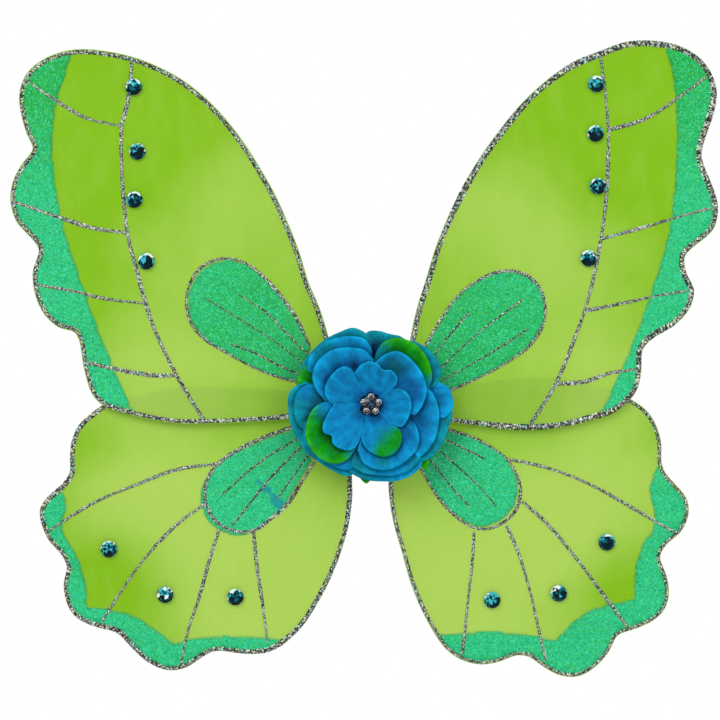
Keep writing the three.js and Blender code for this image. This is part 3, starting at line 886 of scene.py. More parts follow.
def make_margin(wing):
    """The band of teal glitter between the wing's edge and its scalloped inner line."""
    line = np.vstack([smooth_line(scallop) for scallop in MARGINS[wing.name]])
    beyond = 12
    first = line[0] + (line[0] - line[1]) / np.linalg.norm(line[0] - line[1]) * beyond
    last = line[-1] + (line[-1] - line[-2]) / np.linalg.norm(line[-1] - line[-2]) * beyond
    line = np.vstack([first, line, last])
    keep = np.concatenate([[True], np.linalg.norm(np.diff(line, axis=0), axis=1) > 0.3])
    line = line[keep]
    corners, faces = fill_outline(wing.wire, [line], 4.0)
    far = 500.0  # well outside the wing
    out = wing.side * far
    outer = [(line[-1][0], -far), (out, -far), (out, far), (line[0][0], far)]
    if wing.name in LOWER:
        outer = [(line[-1][0], -far), (out, -far), (out, line[0][1])]
    faces = faces[inside(np.vstack([line, outer]), corners[faces].mean(axis=1))]
    vertices, shell = film(wing, corners, faces)
    obj = make_mesh(wing.name + "_teal_margin", vertices, shell, TEAL_PAINT)
    paint_cover(obj, np.vstack([line, line[::-1]]))
    finish_piece(obj, wing.body, "glitter_teal")


def paint_cover(obj, loop):
    """How thick the glitter paint lies: none on its border line, and full once it has faded in."""
    points = np.array([(v.co.x, v.co.z) for v in obj.data.vertices]) / MM
    paint(obj, "cover", np.clip(distance_to(loop, points) / FADE, 0, 1)[:, None])


def make_teardrop(wing):
    """The teal teardrop that points at the flower."""
    loop = smooth_line(TEARDROPS[wing.name]) + FILL_SHIFT[wing.name]
    loop = evenly(np.vstack([loop, loop[:1]]), 110)[:-1]
    loop = loop + outwards(loop) * 0.9  # to the middle of its silver line
    corners, faces = fill_outline(loop, [], 3.5)
    vertices, shell = film(wing, corners, faces)
    obj = make_mesh(wing.name + "_teal_teardrop", vertices, shell, TEAL_PAINT)
    paint_cover(obj, loop)
    finish_piece(obj, wing.body, "glitter_teal")


def make_stones(wing, random):
    """The flat-backed faceted stones."""
    prefix = wing.name + "_stone_"
    for node in sorted(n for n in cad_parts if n.startswith(prefix)):
        make_stone(node, wing.body, "stone", STONE, TEAL_CUT, random)


def seat_of(node):
    """The middle of a stone's seat, as (x, z), and its radius."""
    low, high = box_of(node)
    return np.array([(low[0] + high[0]) / 2, (low[2] + high[2]) / 2]), (high[0] - low[0]) / 2


def make_stone(node, body, slot, material, cut, random):
    """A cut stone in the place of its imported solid."""
    low, high = box_of(node)
    (x, z), radius = seat_of(node)
    vertices, faces, tones = cut_stone(radius, high[1] - low[1], cut, random)
    obj = make_mesh(node + "_cut", (vertices + (x, high[1], z)) * MM, faces, material, smooth=False)
    paint_faces(obj, "facet", tones)
    finish_piece(obj, body, slot, [node])


# Each cut's deep, middle, pale and bright tones, painted on the facets as reflections, and how light a facet
# is where each of the last three starts
TEAL_CUT = ((0.0, 0.012, 0.02), (0.001, 0.13, 0.17), (0.05, 0.50, 0.58), (0.9, 1.0, 1.0))
CLEAR_CUT = ((0.015, 0.012, 0.01), (0.42, 0.40, 0.36), (0.85, 0.85, 0.82), (1.0, 1.0, 1.0))
MIDNIGHT_CUT = ((0.001, 0.01, 0.03), (0.002, 0.05, 0.10), (0.01, 0.14, 0.24), (0.25, 0.5, 0.62))
TONE_STARTS = (0.22, 0.38, 0.58)


def cut_stone(radius, thick, cut, random):
    """A round stone: table, star, main and girdle facets, with a painted reflection for each facet."""
    spin = random.uniform(0, 1)
    # Each ring's reach, height, number of corners and turn
    rings = [(1.0, 0.0, 16, 0.0), (1.0, 0.24, 16, 0.0), (0.80, 0.62, 8, 0.5), (0.52, 0.93, 8, 0.0)]
    vertices, starts = [], []
    for reach, high, count, shift in rings:
        starts.append(len(vertices))
        for i in range(count):
            t = (i + shift) / count * math.tau + spin
            vertices.append((math.cos(t) * reach * radius, -high * thick, math.sin(t) * reach * radius))
    table = len(vertices)
    vertices.append((0, -thick, 0))
    base = len(vertices)
    vertices.append((0, 0, 0))
    low, girdle, main, star = starts
    faces, tones = [], []
    gleam = random.uniform(-0.1, 0.3)

    def facet(*corners, base_tone=0.0):
        """Painted light: facets that lean up and to the light are painted paler, and one here and there is
        painted as a flash.
        """
        a, b, c = (np.array(vertices[i]) for i in corners[:3])
        lean = np.cross(b - a, c - a)
        lean = lean / np.linalg.norm(lean)
        lean = -lean if lean[1] > 0 else lean
        light = base_tone + 0.45 * (0.95 * lean[2] - 0.25 * lean[0]) + random.uniform(-0.3, 0.3)
        faces.append(corners)
        tones.append(cut[sum(light >= start for start in TONE_STARTS)])

    for i in range(16):
        j = (i + 1) % 16
        facet(base, low + i, low + j)
        facet(low + i, girdle + i, girdle + j, low + j, base_tone=0.3)
    for i in range(8):
        j = (i + 1) % 8
        g0, g1, g2 = girdle + 2 * i, girdle + (2 * i + 1) % 16, girdle + (2 * i + 2) % 16
        m, n = main + i, main + j
        facet(g0, m, g1, base_tone=0.40)
        facet(g1, m, g2, base_tone=0.40)
        facet(g2, m, n, base_tone=0.28)
        facet(m, star + i, star + j, base_tone=0.0)
        facet(m, star + j, n, base_tone=0.06 + gleam)
        facet(table, star + j, star + i, base_tone=gleam + 0.12)
    return np.array(vertices), faces, np.array(tones)


# ------------------------------------------- the flower, as (x, z) in millimetres from its heart

def dye(red, green, blue):
    """A colour, from a colour card's 0 to 255 numbers, for the dyed cloth and for the painted shade and
    highlights.
    """
    card = np.array([red, green, blue]) / 255
    return np.where(card <= 0.04045, card / 12.92, ((card + 0.055) / 1.055) ** 2.4)


# Each colour has a deeper painted shade for inside the cup and a paler painted highlight for the rim, and the
# navy is painted shadow in the gaps between petals.
BLUE, BLUE_HIGHLIGHT, BLUE_SHADE = dye(0, 139, 197), dye(0, 166, 220), dye(0, 94, 154)
TEAL_BLUE, TEAL_HIGHLIGHT, TEAL_SHADE = dye(0, 131, 152), dye(0, 152, 172), dye(0, 92, 112)
GREEN, GREEN_HIGHLIGHT, GREEN_SHADE = dye(4, 150, 0), dye(52, 180, 4), dye(0, 98, 0)
GAP_SHADE = dye(0, 40, 84)
BLUES = (BLUE_SHADE, BLUE, BLUE_HIGHLIGHT)
TEALS = (TEAL_SHADE, TEAL_BLUE, TEAL_HIGHLIGHT)
GREENS = (GREEN_SHADE, GREEN, GREEN_HIGHLIGHT)

# Each layer: how deep its heart lies, how far it leans forward, where its shade ends, and its petals.
# A petal has its rim, its painted shade, own colour and painted highlight from the heart to the rim, and
# spots of another colour as (x, z, radius, colour); the navy and deeper spots are painted shade, and the
# paler one is a painted highlight.
LAYERS = {
    "flower_leaves": (-23.4, 0.36, 0.6, [
        ([(-14, -36), (-9, -46), (-3, -52), (2, -45), (6, -36)], GREENS, []),
        ([(24, -32), (31, -39), (36, -43), (38, -36), (36, -27)], GREENS, []),
        ([(-35, 18), (-41, 22), (-42, 15), (-40, 6), (-36, 1)], GREENS, []),
        ([(30, 20), (36, 25), (40, 25), (40, 16), (37, 8)], GREENS, []),
        ([(-12, 22), (-8, 26), (0, 27), (8, 26), (12, 22)], GREENS, []),
    ]),
    "petals_back": (-25.0, 0.40, 0.74, [
        ([(-43, 15), (-50, 12), (-54, 7), (-54.5, -3), (-52.5, -14), (-48, -23), (-42, -26)], TEALS, []),
        ([(-45, -19), (-46, -26), (-41, -33), (-34, -38), (-27, -42.5), (-16, -47), (-8, -44)], TEALS, []),
        ([(-16, -43), (-10, -47), (-3, -49.5), (7, -50.5), (17, -50), (26, -46.5), (33, -40), (34, -33)],
         BLUES, [(-6, -47, 14, TEAL_BLUE)]),
        ([(28, -38), (38, -35.5), (46.5, -26), (51, -14.5), (53.5, -6), (49, 3)], TEALS, []),
        ([(41, 17), (46, 14), (51, 11), (53.5, 4), (53.5, -3), (48, -9)], BLUES, []),
        ([(20, 42), (27, 42), (33, 39.5), (39, 35), (45, 27), (46, 20), (42, 12)], TEALS, []),
        ([(-7, 42), (-2, 48), (5, 48.5), (12, 46.5), (19, 45), (26, 40)], TEALS, [(2, 35, 8, GAP_SHADE)]),
        ([(-44, 20), (-45, 26), (-40, 34), (-30, 43), (-20, 48), (-12, 50.5), (-5, 48), (1, 43)],
         TEALS, [(2, 35, 7, GAP_SHADE)]),
        ([(-40, 28), (-44, 25), (-47.5, 20), (-49, 14), (-48, 8), (-44, 4)],
         GREENS, [(-43, 28, 4, TEAL_BLUE)]),
    ]),
    "petals_outer": (-26.6, 0.46, 0.72, [
        ([(-35, 20), (-41, 22), (-41, 30), (-34, 38.5), (-24, 43.5), (-13, 45), (-4, 43), (0, 37), (1, 30)],
         BLUES, [(-30, 34, 9, TEAL_BLUE), (4, 30, 6, GAP_SHADE)]),
        ([(2, 29), (4, 36), (9, 41.5), (17, 44), (27, 41), (34, 35), (39, 25), (40, 17), (38, 11)],
         GREENS, [(3, 34, 9, TEAL_BLUE), (39, 12, 7, TEAL_BLUE)]),
        ([(36, 13), (42, 5), (44.5, -4), (44.5, -12), (42.5, -21), (38, -29), (31, -35)], BLUES, []),
        ([(-36, 14), (-42, 13), (-47, 10), (-50, 4), (-50.5, -5), (-48, -13), (-42, -18)],
         TEALS, [(-44, 11, 9, BLUE)]),
        ([(-44, -12), (-44, -24), (-38, -33), (-28, -39), (-16, -43), (-7, -40)],
         TEALS, [(-20, -42, 9, BLUE)]),
        ([(-14, -40), (-6, -44.5), (6, -46.5), (18, -46), (28, -41), (34, -32)],
         TEALS, [(14, -46, 14, BLUE)]),
    ]),
    "petals_middle": (-28.2, 0.56, 0.70, [
        ([(-30, 2), (-35.5, 9), (-38.5, 17), (-36, 27), (-27.5, 35), (-16, 37.5), (-5, 36), (1.5, 30)],
         BLUES, [(-11, 25.5, 3.5, GAP_SHADE), (-26, 12, 7, BLUE_SHADE)]),
        ([(1, 26), (4, 29), (10, 33.5), (18, 35), (27, 29), (33.5, 20.5), (36.5, 11), (34, 0), (29, -7)],
         BLUES, [(15, 24, 9, TEAL_SHADE), (27, 8, 7, BLUE_SHADE)]),
        ([(26, -8), (31, -18), (31, -27), (25, -35), (18, -40), (10, -42.5), (2, -42), (-5, -38),
          (-9, -30)], BLUES, [(28, -9, 5, GAP_SHADE), (8, -36, 6, TEAL_BLUE)]),
        ([(-26, 2), (-33, 1), (-39, -4), (-42.5, -13), (-42.5, -22), (-38.5, -30), (-31, -36.5),
          (-22, -38.5), (-14.5, -35), (-10, -29)], GREENS, [(-28, 1, 10, BLUE), (-10, -32, 6, TEAL_BLUE)]),
    ]),
    "petals_inner": (-29.8, 0.66, 0.10, [
        ([(-11, 21), (-14, 24), (-19, 25), (-25, 20.5), (-29.5, 14), (-30.5, 9), (-28.5, 3), (-24, -1)],
         BLUES, []),
        ([(-11, 21), (-7, 26), (-1, 28.5), (4.5, 26.5), (8, 23), (13.5, 22.5), (17.2, 18), (16.5, 13),
          (13, 9)], BLUES, []),
        ([(12, 10), (20, 10.2), (25, 6), (26.5, -1), (25, -7.5), (20.5, -14.5), (12, -13)],
         BLUES, [(24, -9, 3.5, BLUE_HIGHLIGHT)]),
        ([(-5, -12), (-6.5, -22), (-2.5, -29.5), (7, -34), (15.5, -31.5), (20, -24), (19.2, -17),
          (13, -12)],
         BLUES, [(9, -20, 6, TEAL_BLUE), (8, -31, 7.5, GREEN), (15, -26, 8, GREEN), (19, -20, 7, GREEN)]),
        ([(-24, 1), (-28.5, -6), (-31.5, -13), (-31, -18.5), (-26, -20.5), (-25, -25.5), (-18.7, -29.5),
          (-12.7, -29.5), (-8.5, -25.5), (-5, -15)], BLUES, []),
    ]),
}
PETAL_HEART = 7.0  # how far from the heart a petal starts
PETAL_FLAT = 12  # and how far out it is flat


def crumple(points):
    """The puckers of the petal cloth. Every layer shares them, so the layers stay apart."""
    x, z = points.T
    turn, reach = np.arctan2(z, x), np.hypot(x, z)
    rays = 0.34 * np.sin(turn * 17 + np.sin(reach / 5) * 1.3) + 0.16 * np.sin(turn * 43 + reach / 3)
    puckers = np.sin(x / 1.7 + np.sin(z / 2.7) * 1.2) * np.sin(z / 1.9 + np.sin(x / 3.1))
    return rays * np.clip(reach / 30, 0, 1) + 0.2 * puckers


def petal_colour(points, v, band, shade_dye_highlight, spots):
    """Painted shade deep inside the cup, the cloth's own colour above the band, a painted highlight on the
    paler rim, painted shade and light on the puckers, and the spots blended in.
    """
    deep, body, rim = shade_dye_highlight
    # Painted shade below the band, and a painted highlight towards the rim.
    near = np.clip((v - band) / 0.16, 0, 1)[:, None]
    edge = np.clip((v - 0.88) / 0.12, 0, 1)[:, None] ** 1.5
    colour = deep * (1 - near) + body * near
    colour = colour * (1 - edge) + rim * edge
    # Painted shade and light: the puckers are darker where the cloth sinks back and lighter where it stands
    # forward.
    colour = colour * (1 + 0.45 * np.clip(-crumple(points), -0.5, 0.5))[:, None]
    for x, z, radius, other in spots:
        far = np.hypot(points[:, 0] - x, points[:, 1] - z) / radius
        weight = np.clip(1.4 - far, 0, 1)[:, None] ** 1.2
        colour = colour * (1 - weight) + np.asarray(other) * weight
    return colour


def make_petal_layer(name, depth, lean, band, petals, random):
    """One layer of the flower: every petal a cupped, fluted and crumpled shell of cloth."""
    rows, columns = 19, 53
    vertices, faces, colours, weave = [], [], [], []
    for number, (rim, shade_dye_highlight, spots) in enumerate(petals):
        outline = evenly(smooth_line(rim, 8), columns)
        if np.cross(outline[0], outline[-1]) < 0:
            outline = outline[::-1]
        u = np.linspace(0, 1, columns)
        phase = random.uniform(0, math.tau)
        folds = random.integers(3, 6)
        inner = PETAL_HEART / np.linalg.norm(outline, axis=1).mean()
        sheet_points, sheet_y, sheet_v = [], [], []
        for v in np.linspace(inner, 1, rows):
            place = outline * v
            reach = np.hypot(*place.T)
            far = np.clip((v - inner) / (1 - inner), 0, 1)
            rise = depth - lean * np.maximum(0, reach - PETAL_FLAT)
            cup = 1.7 * (1 - (2 * u - 1) ** 4) * math.sin(math.pi * far * 0.95) * far - 0.2
            flute = 0.42 * np.sin(u * math.tau * folds + phase) * far ** 2
            tilt = (2 * u - 1) * 0.75 * far
            curl = 1.5 * max(0.0, (far - 0.82) / 0.18) ** 2
            y = rise + cup + flute + tilt + curl * (0.6 + 0.4 * np.sin(u * 9 + phase))
            sheet_points.append(place)
            sheet_y.append(y + crumple(place))
            sheet_v.append(np.full(columns, far))
        points, y, v = np.vstack(sheet_points), np.concatenate(sheet_y), np.concatenate(sheet_v)
        quads = grid_faces(rows, columns)
        front = np.column_stack([points[:, 0], y, points[:, 1]])
        thin = 0.34 - 0.22 * v ** 6
        shell, loops = thicken(front, front + np.column_stack([0 * y, thin, 0 * y]), quads)
        start = sum(len(part) for part in vertices)
        vertices.append(shell)
        faces += [tuple(i + start for i in f) for f in loops]
        tone = petal_colour(points, v, band, shade_dye_highlight, spots)
        tone = tone * (0.94 + 0.12 * random.random())
        colours += [tone, tone * 0.85]
        across = np.tile(u, rows) * 0.9 + number
        weave += [np.column_stack([across, v])] * 2
    vertices = np.vstack(vertices) + (HEART[0], 0, HEART[1])
    material, slot = (LEAF, "leaf") if name == "flower_leaves" else (PETAL, "petal")
    obj = make_mesh(name + "_cloth", vertices * MM, faces, material)
    paint(obj, "dye", np.vstack(colours))
    pattern(obj, np.vstack(weave))
    finish_piece(obj, "root", slot, [name])


# ---------------------------------------------------------------- the brooch

def lathe(profile, centre, steps=20, lobes=0, swell=0.0):
    """A closed turned shape facing forward. Its profile is (radius, y), and lobes make it scalloped."""
    vertices = []
    for radius, y in profile:
        for i in range(steps):
            t = i / steps * math.tau + math.pi / 2
            r = radius * (1 + swell * math.cos(lobes * (t - math.pi / 2)))
            vertices.append((centre[0] + r * math.cos(t), y, centre[1] + r * math.sin(t)))
    return np.array(vertices), grid_faces(len(profile), steps, closed=True) + end_faces(len(profile), steps)


def joined(parts):
    """Several parts' vertices and faces in one."""
    vertices, faces = [], []
    for points, loops in parts:
        start = sum(len(v) for v in vertices)
        vertices.append(points)
        faces += [tuple(i + start for i in f) for f in loops]
    return np.vstack(vertices), faces


def make_brooch(random):
    """Five claw-set clear stones round a dark one, on a scalloped cast plate."""
    (_, front, _), (_, back, _) = box_of("brooch_setting")
    base, lip = back - 1.0, front + 0.3
    plate = [(5.6, back), (6.6, back - 0.2), (6.7, back - 0.8), (6.1, back - 1.3)]
    centre, radius = seat_of("brooch_heart_stone")
    cup = [(radius, base), (radius + 0.3, base - 0.2), (radius + 0.3, lip), (radius + 0.1, front),
           (radius - 0.1, lip)]
    # Painted shade: the plate and the middle stone's cup are dark for the recess behind the stones.
    vertices, faces = joined([lathe(plate, HEART, 60, lobes=5, swell=0.08), lathe(cup, centre, 24)])
    finish_piece(make_mesh("brooch_back_plate", vertices * MM, faces, RECESS_SHADE), "root", "silver")

    crystals = [f"brooch_crystal_{number}" for number in range(1, 6)]
    parts = []
    for i, node in enumerate(crystals):
        centre, radius = seat_of(node)
        cup = [(radius - 0.1, base), (radius + 0.25, base), (radius + 0.3, front + 0.5),
               (radius + 0.12, front + 0.1), (radius - 0.02, front + 0.2), (radius - 0.15, front + 0.9)]
        parts.append(lathe(cup, centre))
        claw = [(0.34, front + 0.9), (0.36, front - 0.5), (0.3, front - 0.85), (0.14, front - 1.0)]
        for k in range(4):
            t = math.tau * (k + 0.5) / 4 + i * math.tau / 5
            parts.append(lathe(claw, centre + np.array([math.cos(t), math.sin(t)]) * (radius + 0.02), 8))
    vertices, faces = joined(parts)
    setting = make_mesh("brooch_setting_cast", vertices * MM, faces, SILVER)
    finish_piece(setting, "root", "silver", ["brooch_setting"])
    for node in crystals:
        make_stone(node, "root", "crystal", CRYSTAL, CLEAR_CUT, random)
    make_stone("brooch_heart_stone", "root", "heart_stone", HEART_STONE, MIDNIGHT_CUT, random)


# ---------------------------------------------------------------- bindings, felt, pad and straps

def lap_at(turn, angle):
    """How far across the tape's width a point lies, where each turn of the tape laps the last."""
    return (turn + angle / math.tau) % 1.0


def across_tape(lap, gain, fall):
    """A slow rise across the tape's width and a steep fall at its edge."""
    return gain * min(lap, (1 - lap) * fall)


def square_reach(angle, power):
    """How far a square with round corners reaches at an angle, where its sides are 1 away."""
    return (abs(math.cos(angle)) ** power + abs(math.sin(angle)) ** power) ** (-1 / power)


def make_tape(name, vertices, faces, weave, folds):
    """A piece of tape, with its weave and the shade in its folds."""
    obj = make_mesh(name, np.array(vertices) * MM, faces, TAPE)
    pattern(obj, weave)
    paint(obj, "fold", np.array(folds)[:, None])
    return obj


def make_binding(node, name, body):
    """Cloth tape wound round and round, each turn lapping the last."""
    centre, half = middle_of(node)
    turns = max(3, round(half[2] * 2 / TAPE_PITCH))
    rows, columns = turns * 10 + 1, 72
    vertices, weave, folds = [], [], []
    for r in range(rows):
        z = -half[2] + 2 * half[2] * r / (rows - 1)
        ends = 1 - max(0.0, (abs(z) - half[2] + 1.6) / 1.6) ** 2 * 0.16
        for c in range(columns):
            t = c / columns * math.tau
            lap = lap_at(z / (2 * half[2]) * turns, t)
            ridge = across_tape(lap, 0.75, 7) - 0.7
            # Painted shade where each turn laps the last.
            folds.append(min(1.0, 0.25 + across_tape(lap, 1.6, 5)))
            square = square_reach(t, 3.2) if half[0] > 8 else 1.0
            x = (half[0] + ridge) * ends * square * math.cos(t)
            y = (half[1] + ridge) * ends * square * math.sin(t)
            vertices.append((centre[0] + x, centre[1] + y, centre[2] + z))
            weave.append((t * (half[0] + half[1]) / 2, z))
    faces = grid_faces(rows, columns, closed=True)
    for row, way in ((0, 1), (rows - 1, -1)):
        ring = [row * columns + c for c in range(columns)]
        last = ring
        for shrink in (0.8, 0.5, 0.2):
            start = len(vertices)
            for i in ring:
                x, y, z = vertices[i]
                x = centre[0] + (x - centre[0]) * shrink
                y = centre[1] + (y - centre[1]) * shrink
                vertices.append((x, y, z + 0.35 * (1 - shrink) * way))
                weave.append(weave[i])
                # Painted shade on the binding's ends.
                folds.append(0.6)
            new = list(range(start, start + columns))
            faces += [(last[c], last[(c + 1) % columns], new[(c + 1) % columns], new[c])
                      for c in range(columns)]
            last = new
        faces.append(tuple(last))
    finish_piece(make_tape(name, vertices, faces, weave, folds), body, "tape", [node])


def make_lashing(wing):
    """Narrow tape wound round a wing's two wire ends, from its nylon into the root binding."""
    axis, half = middle_of(wing.body.split("_")[0] + "_root_binding")
    rise = half[2] - 1.5
    up = 1 if wing.level == "upper" else -1
    turns, rows, columns, long = 6, 49, 36, 6.6
    vertices, weave, folds = [], [], []
    for r in range(rows):
        share = r / (rows - 1)
        x = axis[0] + wing.side * long * (1 - share)
        y = wing.middle + (axis[1] - wing.middle) * 0.8 * share ** 1.4
        ends = 1 - max(0.0, 1 - share * 9) ** 2 * 0.2
        for c in range(columns):
            t = c / columns * math.tau
            lap = lap_at(share * turns, t)
            ridge = across_tape(lap, 0.4, 6) - 0.35
            square = square_reach(t, 3)
            thick = (2.15 - 0.35 * share + ridge) * ends * square * math.cos(t)
            tall = (rise / 2 + 1.8 - 1.0 * share + ridge) * square * math.sin(t)
            vertices.append((x, y + thick, up * rise / 2 + tall))
            weave.append((t * 3, share * long))
            # Painted shade where each turn laps the last.
            folds.append(min(1.0, 0.3 + across_tape(lap, 1.5, 5)))
    faces = grid_faces(rows, columns, closed=True) + end_faces(rows, columns)
    finish_piece(make_tape(wing.name + "_neck_lashing", vertices, faces, weave, folds), wing.body, "tape")


def make_felt():
    """The felt backing with a pinked edge."""
    centre, half = middle_of("felt_disc")
    radius, thick = half[0], half[1] - 0.1
    teeth, steps, tooth = 44, 176, 1.1
    t = np.linspace(0, math.tau, steps, endpoint=False)
    pink = np.abs((t / math.tau * teeth) % 1.0 - 0.5) * 2
    rings = [0.15, 0.4, 0.65, 0.85, 0.95, 1.0]
    reaches = [radius * share - (tooth * pink if share == 1.0 else 0) for share in rings]
    x, z = np.hstack([(r * np.cos(t), r * np.sin(t)) for r in reaches])
    faces = grid_faces(len(rings), steps, closed=True)
    faces.append(tuple(range(steps))[::-1])
    ripple = 0.10 * np.sin(x / 2.3) * np.sin(z / 2.9)
    front, back = (np.column_stack([x, ripple + way * thick, z]) + centre for way in (-1, 1))
    vertices, shell = thicken(front, back, faces)
    obj = make_mesh("felt_backing", vertices * MM, shell, FELT)
    finish_piece(obj, "root", "felt", ["felt_disc"])
    area = math.pi * (radius - 0.5) ** 2 * MM * MM
    2 * radius * MM
    2 * radius * MM


# A strap's route from the pad's top seam to its bottom one, as shares of its reach and its height
STRAP_LOOP = [(0.0, 0.74), (0.0, 0.8), (0.002, 0.862), (0.018, 0.93), (0.09, 0.995), (0.24, 1.0),
              (0.5, 0.95), (0.76, 0.77), (0.94, 0.4), (1.0, -0.12), (0.95, -0.62), (0.8, -0.93),
              (0.55, -1.04), (0.26, -1.03), (0.09, -1.0), (0.018, -0.93), (0.002, -0.862), (0.0, -0.8),
              (0.0, -0.74)]
STRAP_STEPS = 300


def make_strap(side, number):
    """A loop of ribbed elastic, and its two ends, which run between the pad's seams and the loop."""
    centre, half = middle_of(side + "_strap")
    middle, half = centre[0], half[0]
    loop = [(STRAP_PIVOT + share * STRAP_REACH, rise * STRAP_TALL) for share, rise in STRAP_LOOP]
    path = evenly(smooth_line(loop, 10), STRAP_STEPS)
    cut = int(np.argmax(path[:, 1] > TURN_HIGH + 0.3))
    rest = STRAP_STEPS - cut
    band = make_band(side + "_elastic_loop", path, cut - 1, rest + 1, middle, half, number)
    finish_piece(band, side + "_strap", "elastic", [side + "_strap"])
    for end, first, last, way in (("top", 0, cut, 1), ("bottom", rest, STRAP_STEPS, -1)):
        band = make_band(f"{side}_elastic_{end}_end", path, first, last, middle, half, number)
        middle * MM
        middle * MM
        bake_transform(band)


def make_band(name, path, first, last, middle, half, number):
    """Ribbed elastic with rolled edges along part of the (y, z) path."""
    run = direction(path, closed=False)
    out = np.column_stack([-run[:, 1], run[:, 0]])
    ribs = 12
    across = np.linspace(-1, 1, ribs * 4 + 1)
    thick = 0.42 + 0.12 * np.abs(np.sin(across * math.pi * ribs / 2)) + 0.14 * (np.abs(across) > 0.9)
    thick = thick * np.sqrt(np.clip(1.05 - across ** 18, 0.05, 1))
    section = list(zip(across * (half - 0.1), thick))
    section += [(x, -lift) for x, lift in reversed(section)]
    lengths = lengths_along(path)
    vertices, weave = [], []
    for i in range(first, last):
        waver = 0.1 * math.sin(lengths[i] / 21 + number)
        for x, lift in section:
            vertices.append((middle + x + waver, *(path[i] + out[i] * lift)))
            weave.append((x, lengths[i]))
    wide, rows = len(section), last - first
    faces = grid_faces(rows, wide, closed=True) + end_faces(rows, wide)
    obj = make_mesh(name, np.array(vertices) * MM, faces, ELASTIC)
    pattern(obj, weave)
    return obj


def pad_form(points, half, edge):
    """How full the pad is at each (x, z): 1 in the middle and 0 on its edge, with round corners."""
    beyond = np.maximum(np.abs(points) - (half - PAD_CORNER), 0)
    inset = np.minimum(PAD_CORNER - np.hypot(*beyond.T), (half - np.abs(points)).min(axis=1))
    return np.clip(inset / edge, 0, 1)


def round_corners(points, half):
    """Draws the corners of a grid in to the pad's round ones."""
    inner = half - PAD_CORNER
    beyond = np.maximum(np.abs(points) - inner, 0)
    pull = PAD_CORNER / np.maximum(np.hypot(*beyond.T), PAD_CORNER)
    return np.sign(points) * (np.minimum(np.abs(points), inner) + beyond * pull[:, None])


def make_pad():
    """The stuffed back pad: cloth blown up from a slim cushion, then a piped seam and quilting over it."""
    centre, half = middle_of("back_pad")
    face = half[[0, 2]]
    rows, columns = 29, 61
    u, w = np.meshgrid(np.linspace(-1, 1, rows), np.linspace(-1, 1, columns), indexing="ij")
    flat = round_corners(np.column_stack([u.ravel(), w.ravel()]) * face * PAD_TRIM, face * PAD_TRIM)
    full = pad_form(flat, face * PAD_TRIM[1], 7.0)
    swell = half[1] * PAD_SLIM * np.sqrt(np.clip(1 - (1 - full) ** 2, 0, 1)) + 0.15
    front, back = (np.column_stack([flat[:, 0], way * swell, flat[:, 1]]) + centre for way in (-1, 1))
    vertices, shell = thicken(front, back, grid_faces(rows, columns))
    pad = make_mesh("quilted_pad", vertices * MM, shell, PAD)
    blow_up(pad, centre, half)
    quilt(pad, centre, face)
    finish_piece(pad, "root", "pad", ["back_pad"])
    make_piping(centre, half)
    make_stitches(pad, centre, half)


def blow_up(pad, centre, half):
    """Fills the pad with air as cloth, keeping within the solid it stands for."""
    remesh = pad.modifiers.new("even", "REMESH")
    remesh.mode = "VOXEL"
    remesh.voxel_size = VOXEL * MM
    apply_modifiers(pad)
    start = np.array([v.co for v in pad.data.vertices])
    frames = 20
    cloth = pad.modifiers.new("cloth", "CLOTH")
    cloth.settings.use_pressure = True
    cloth.settings.uniform_pressure_force = 4.0
    cloth.settings.effector_weights.gravity = 0.0
    cloth.settings.quality = 5
    scene = bpy.context.scene
    scene.frame_start, scene.frame_end = 1, frames
    cloth.point_cache.frame_start, cloth.point_cache.frame_end = 1, frames
    for step in range(1, frames + 1):
        scene.frame_set(step)
    apply_modifiers(pad)
    scene.frame_set(1)
    shift = np.array([v.co for v in pad.data.vertices]) - start
    size = np.linalg.norm(shift, axis=1)[:, None]
    shift *= np.minimum(1, PUFF * MM / np.maximum(size, 1e-9))
    low, high = (centre - half + 0.05) * MM, (centre + half - 0.05) * MM
    pad.data.vertices.foreach_set("co", np.clip(start + shift, low, high).ravel())
    smooth = pad.modifiers.new("soften", "SUBSURF")
    smooth.levels = smooth.render_levels = 1
    apply_modifiers(pad)
    pad.data.polygons.foreach_set("use_smooth", [True] * len(pad.data.polygons))


def quilt(pad, centre, face):
    """Sews crossing diagonal channels into both faces of the pad."""
    count = len(pad.data.vertices)
    place = np.zeros(count * 3)
    pad.data.vertices.foreach_get("co", place)
    place = place.reshape(-1, 3) / MM
    x, z = place[:, 0] - centre[0], place[:, 2] - centre[2]
    full = pad_form(np.column_stack([x, z]), face, 6.0)
    groove = np.zeros(count)
    for way in (1, -1):
        off = np.abs(((x + way * z) / math.sqrt(2) / QUILT_STEP + 0.5) % 1.0 - 0.5) * QUILT_STEP
        groove = np.maximum(groove, np.exp(-(off / QUILT_SOFT) ** 2))
    place[:, 1] -= np.sign(place[:, 1] - centre[1]) * groove * QUILT_DEPTH * full
    pad.data.vertices.foreach_set("co", (place * MM).ravel())
    pad.data.update()


def pad_edge(centre, half, inset, count):
    """The pad's outline as evenly spaced (x, z) points, inset from its edge."""
    corner = PAD_CORNER - inset
    reach = np.array([half[0], half[2]]) - inset - corner
    line = []
    for quarter, (sx, sz) in enumerate(((1, 1), (-1, 1), (-1, -1), (1, -1))):
        for t in np.linspace(0, math.pi / 2, 9):
            angle = t + quarter * math.pi / 2
            line.append((sx * reach[0] + corner * math.cos(angle),
                         sz * reach[1] + corner * math.sin(angle)))
    line = np.array(line + line[:1])
    return evenly(line, count + 1)[:-1] + (centre[0], centre[2])


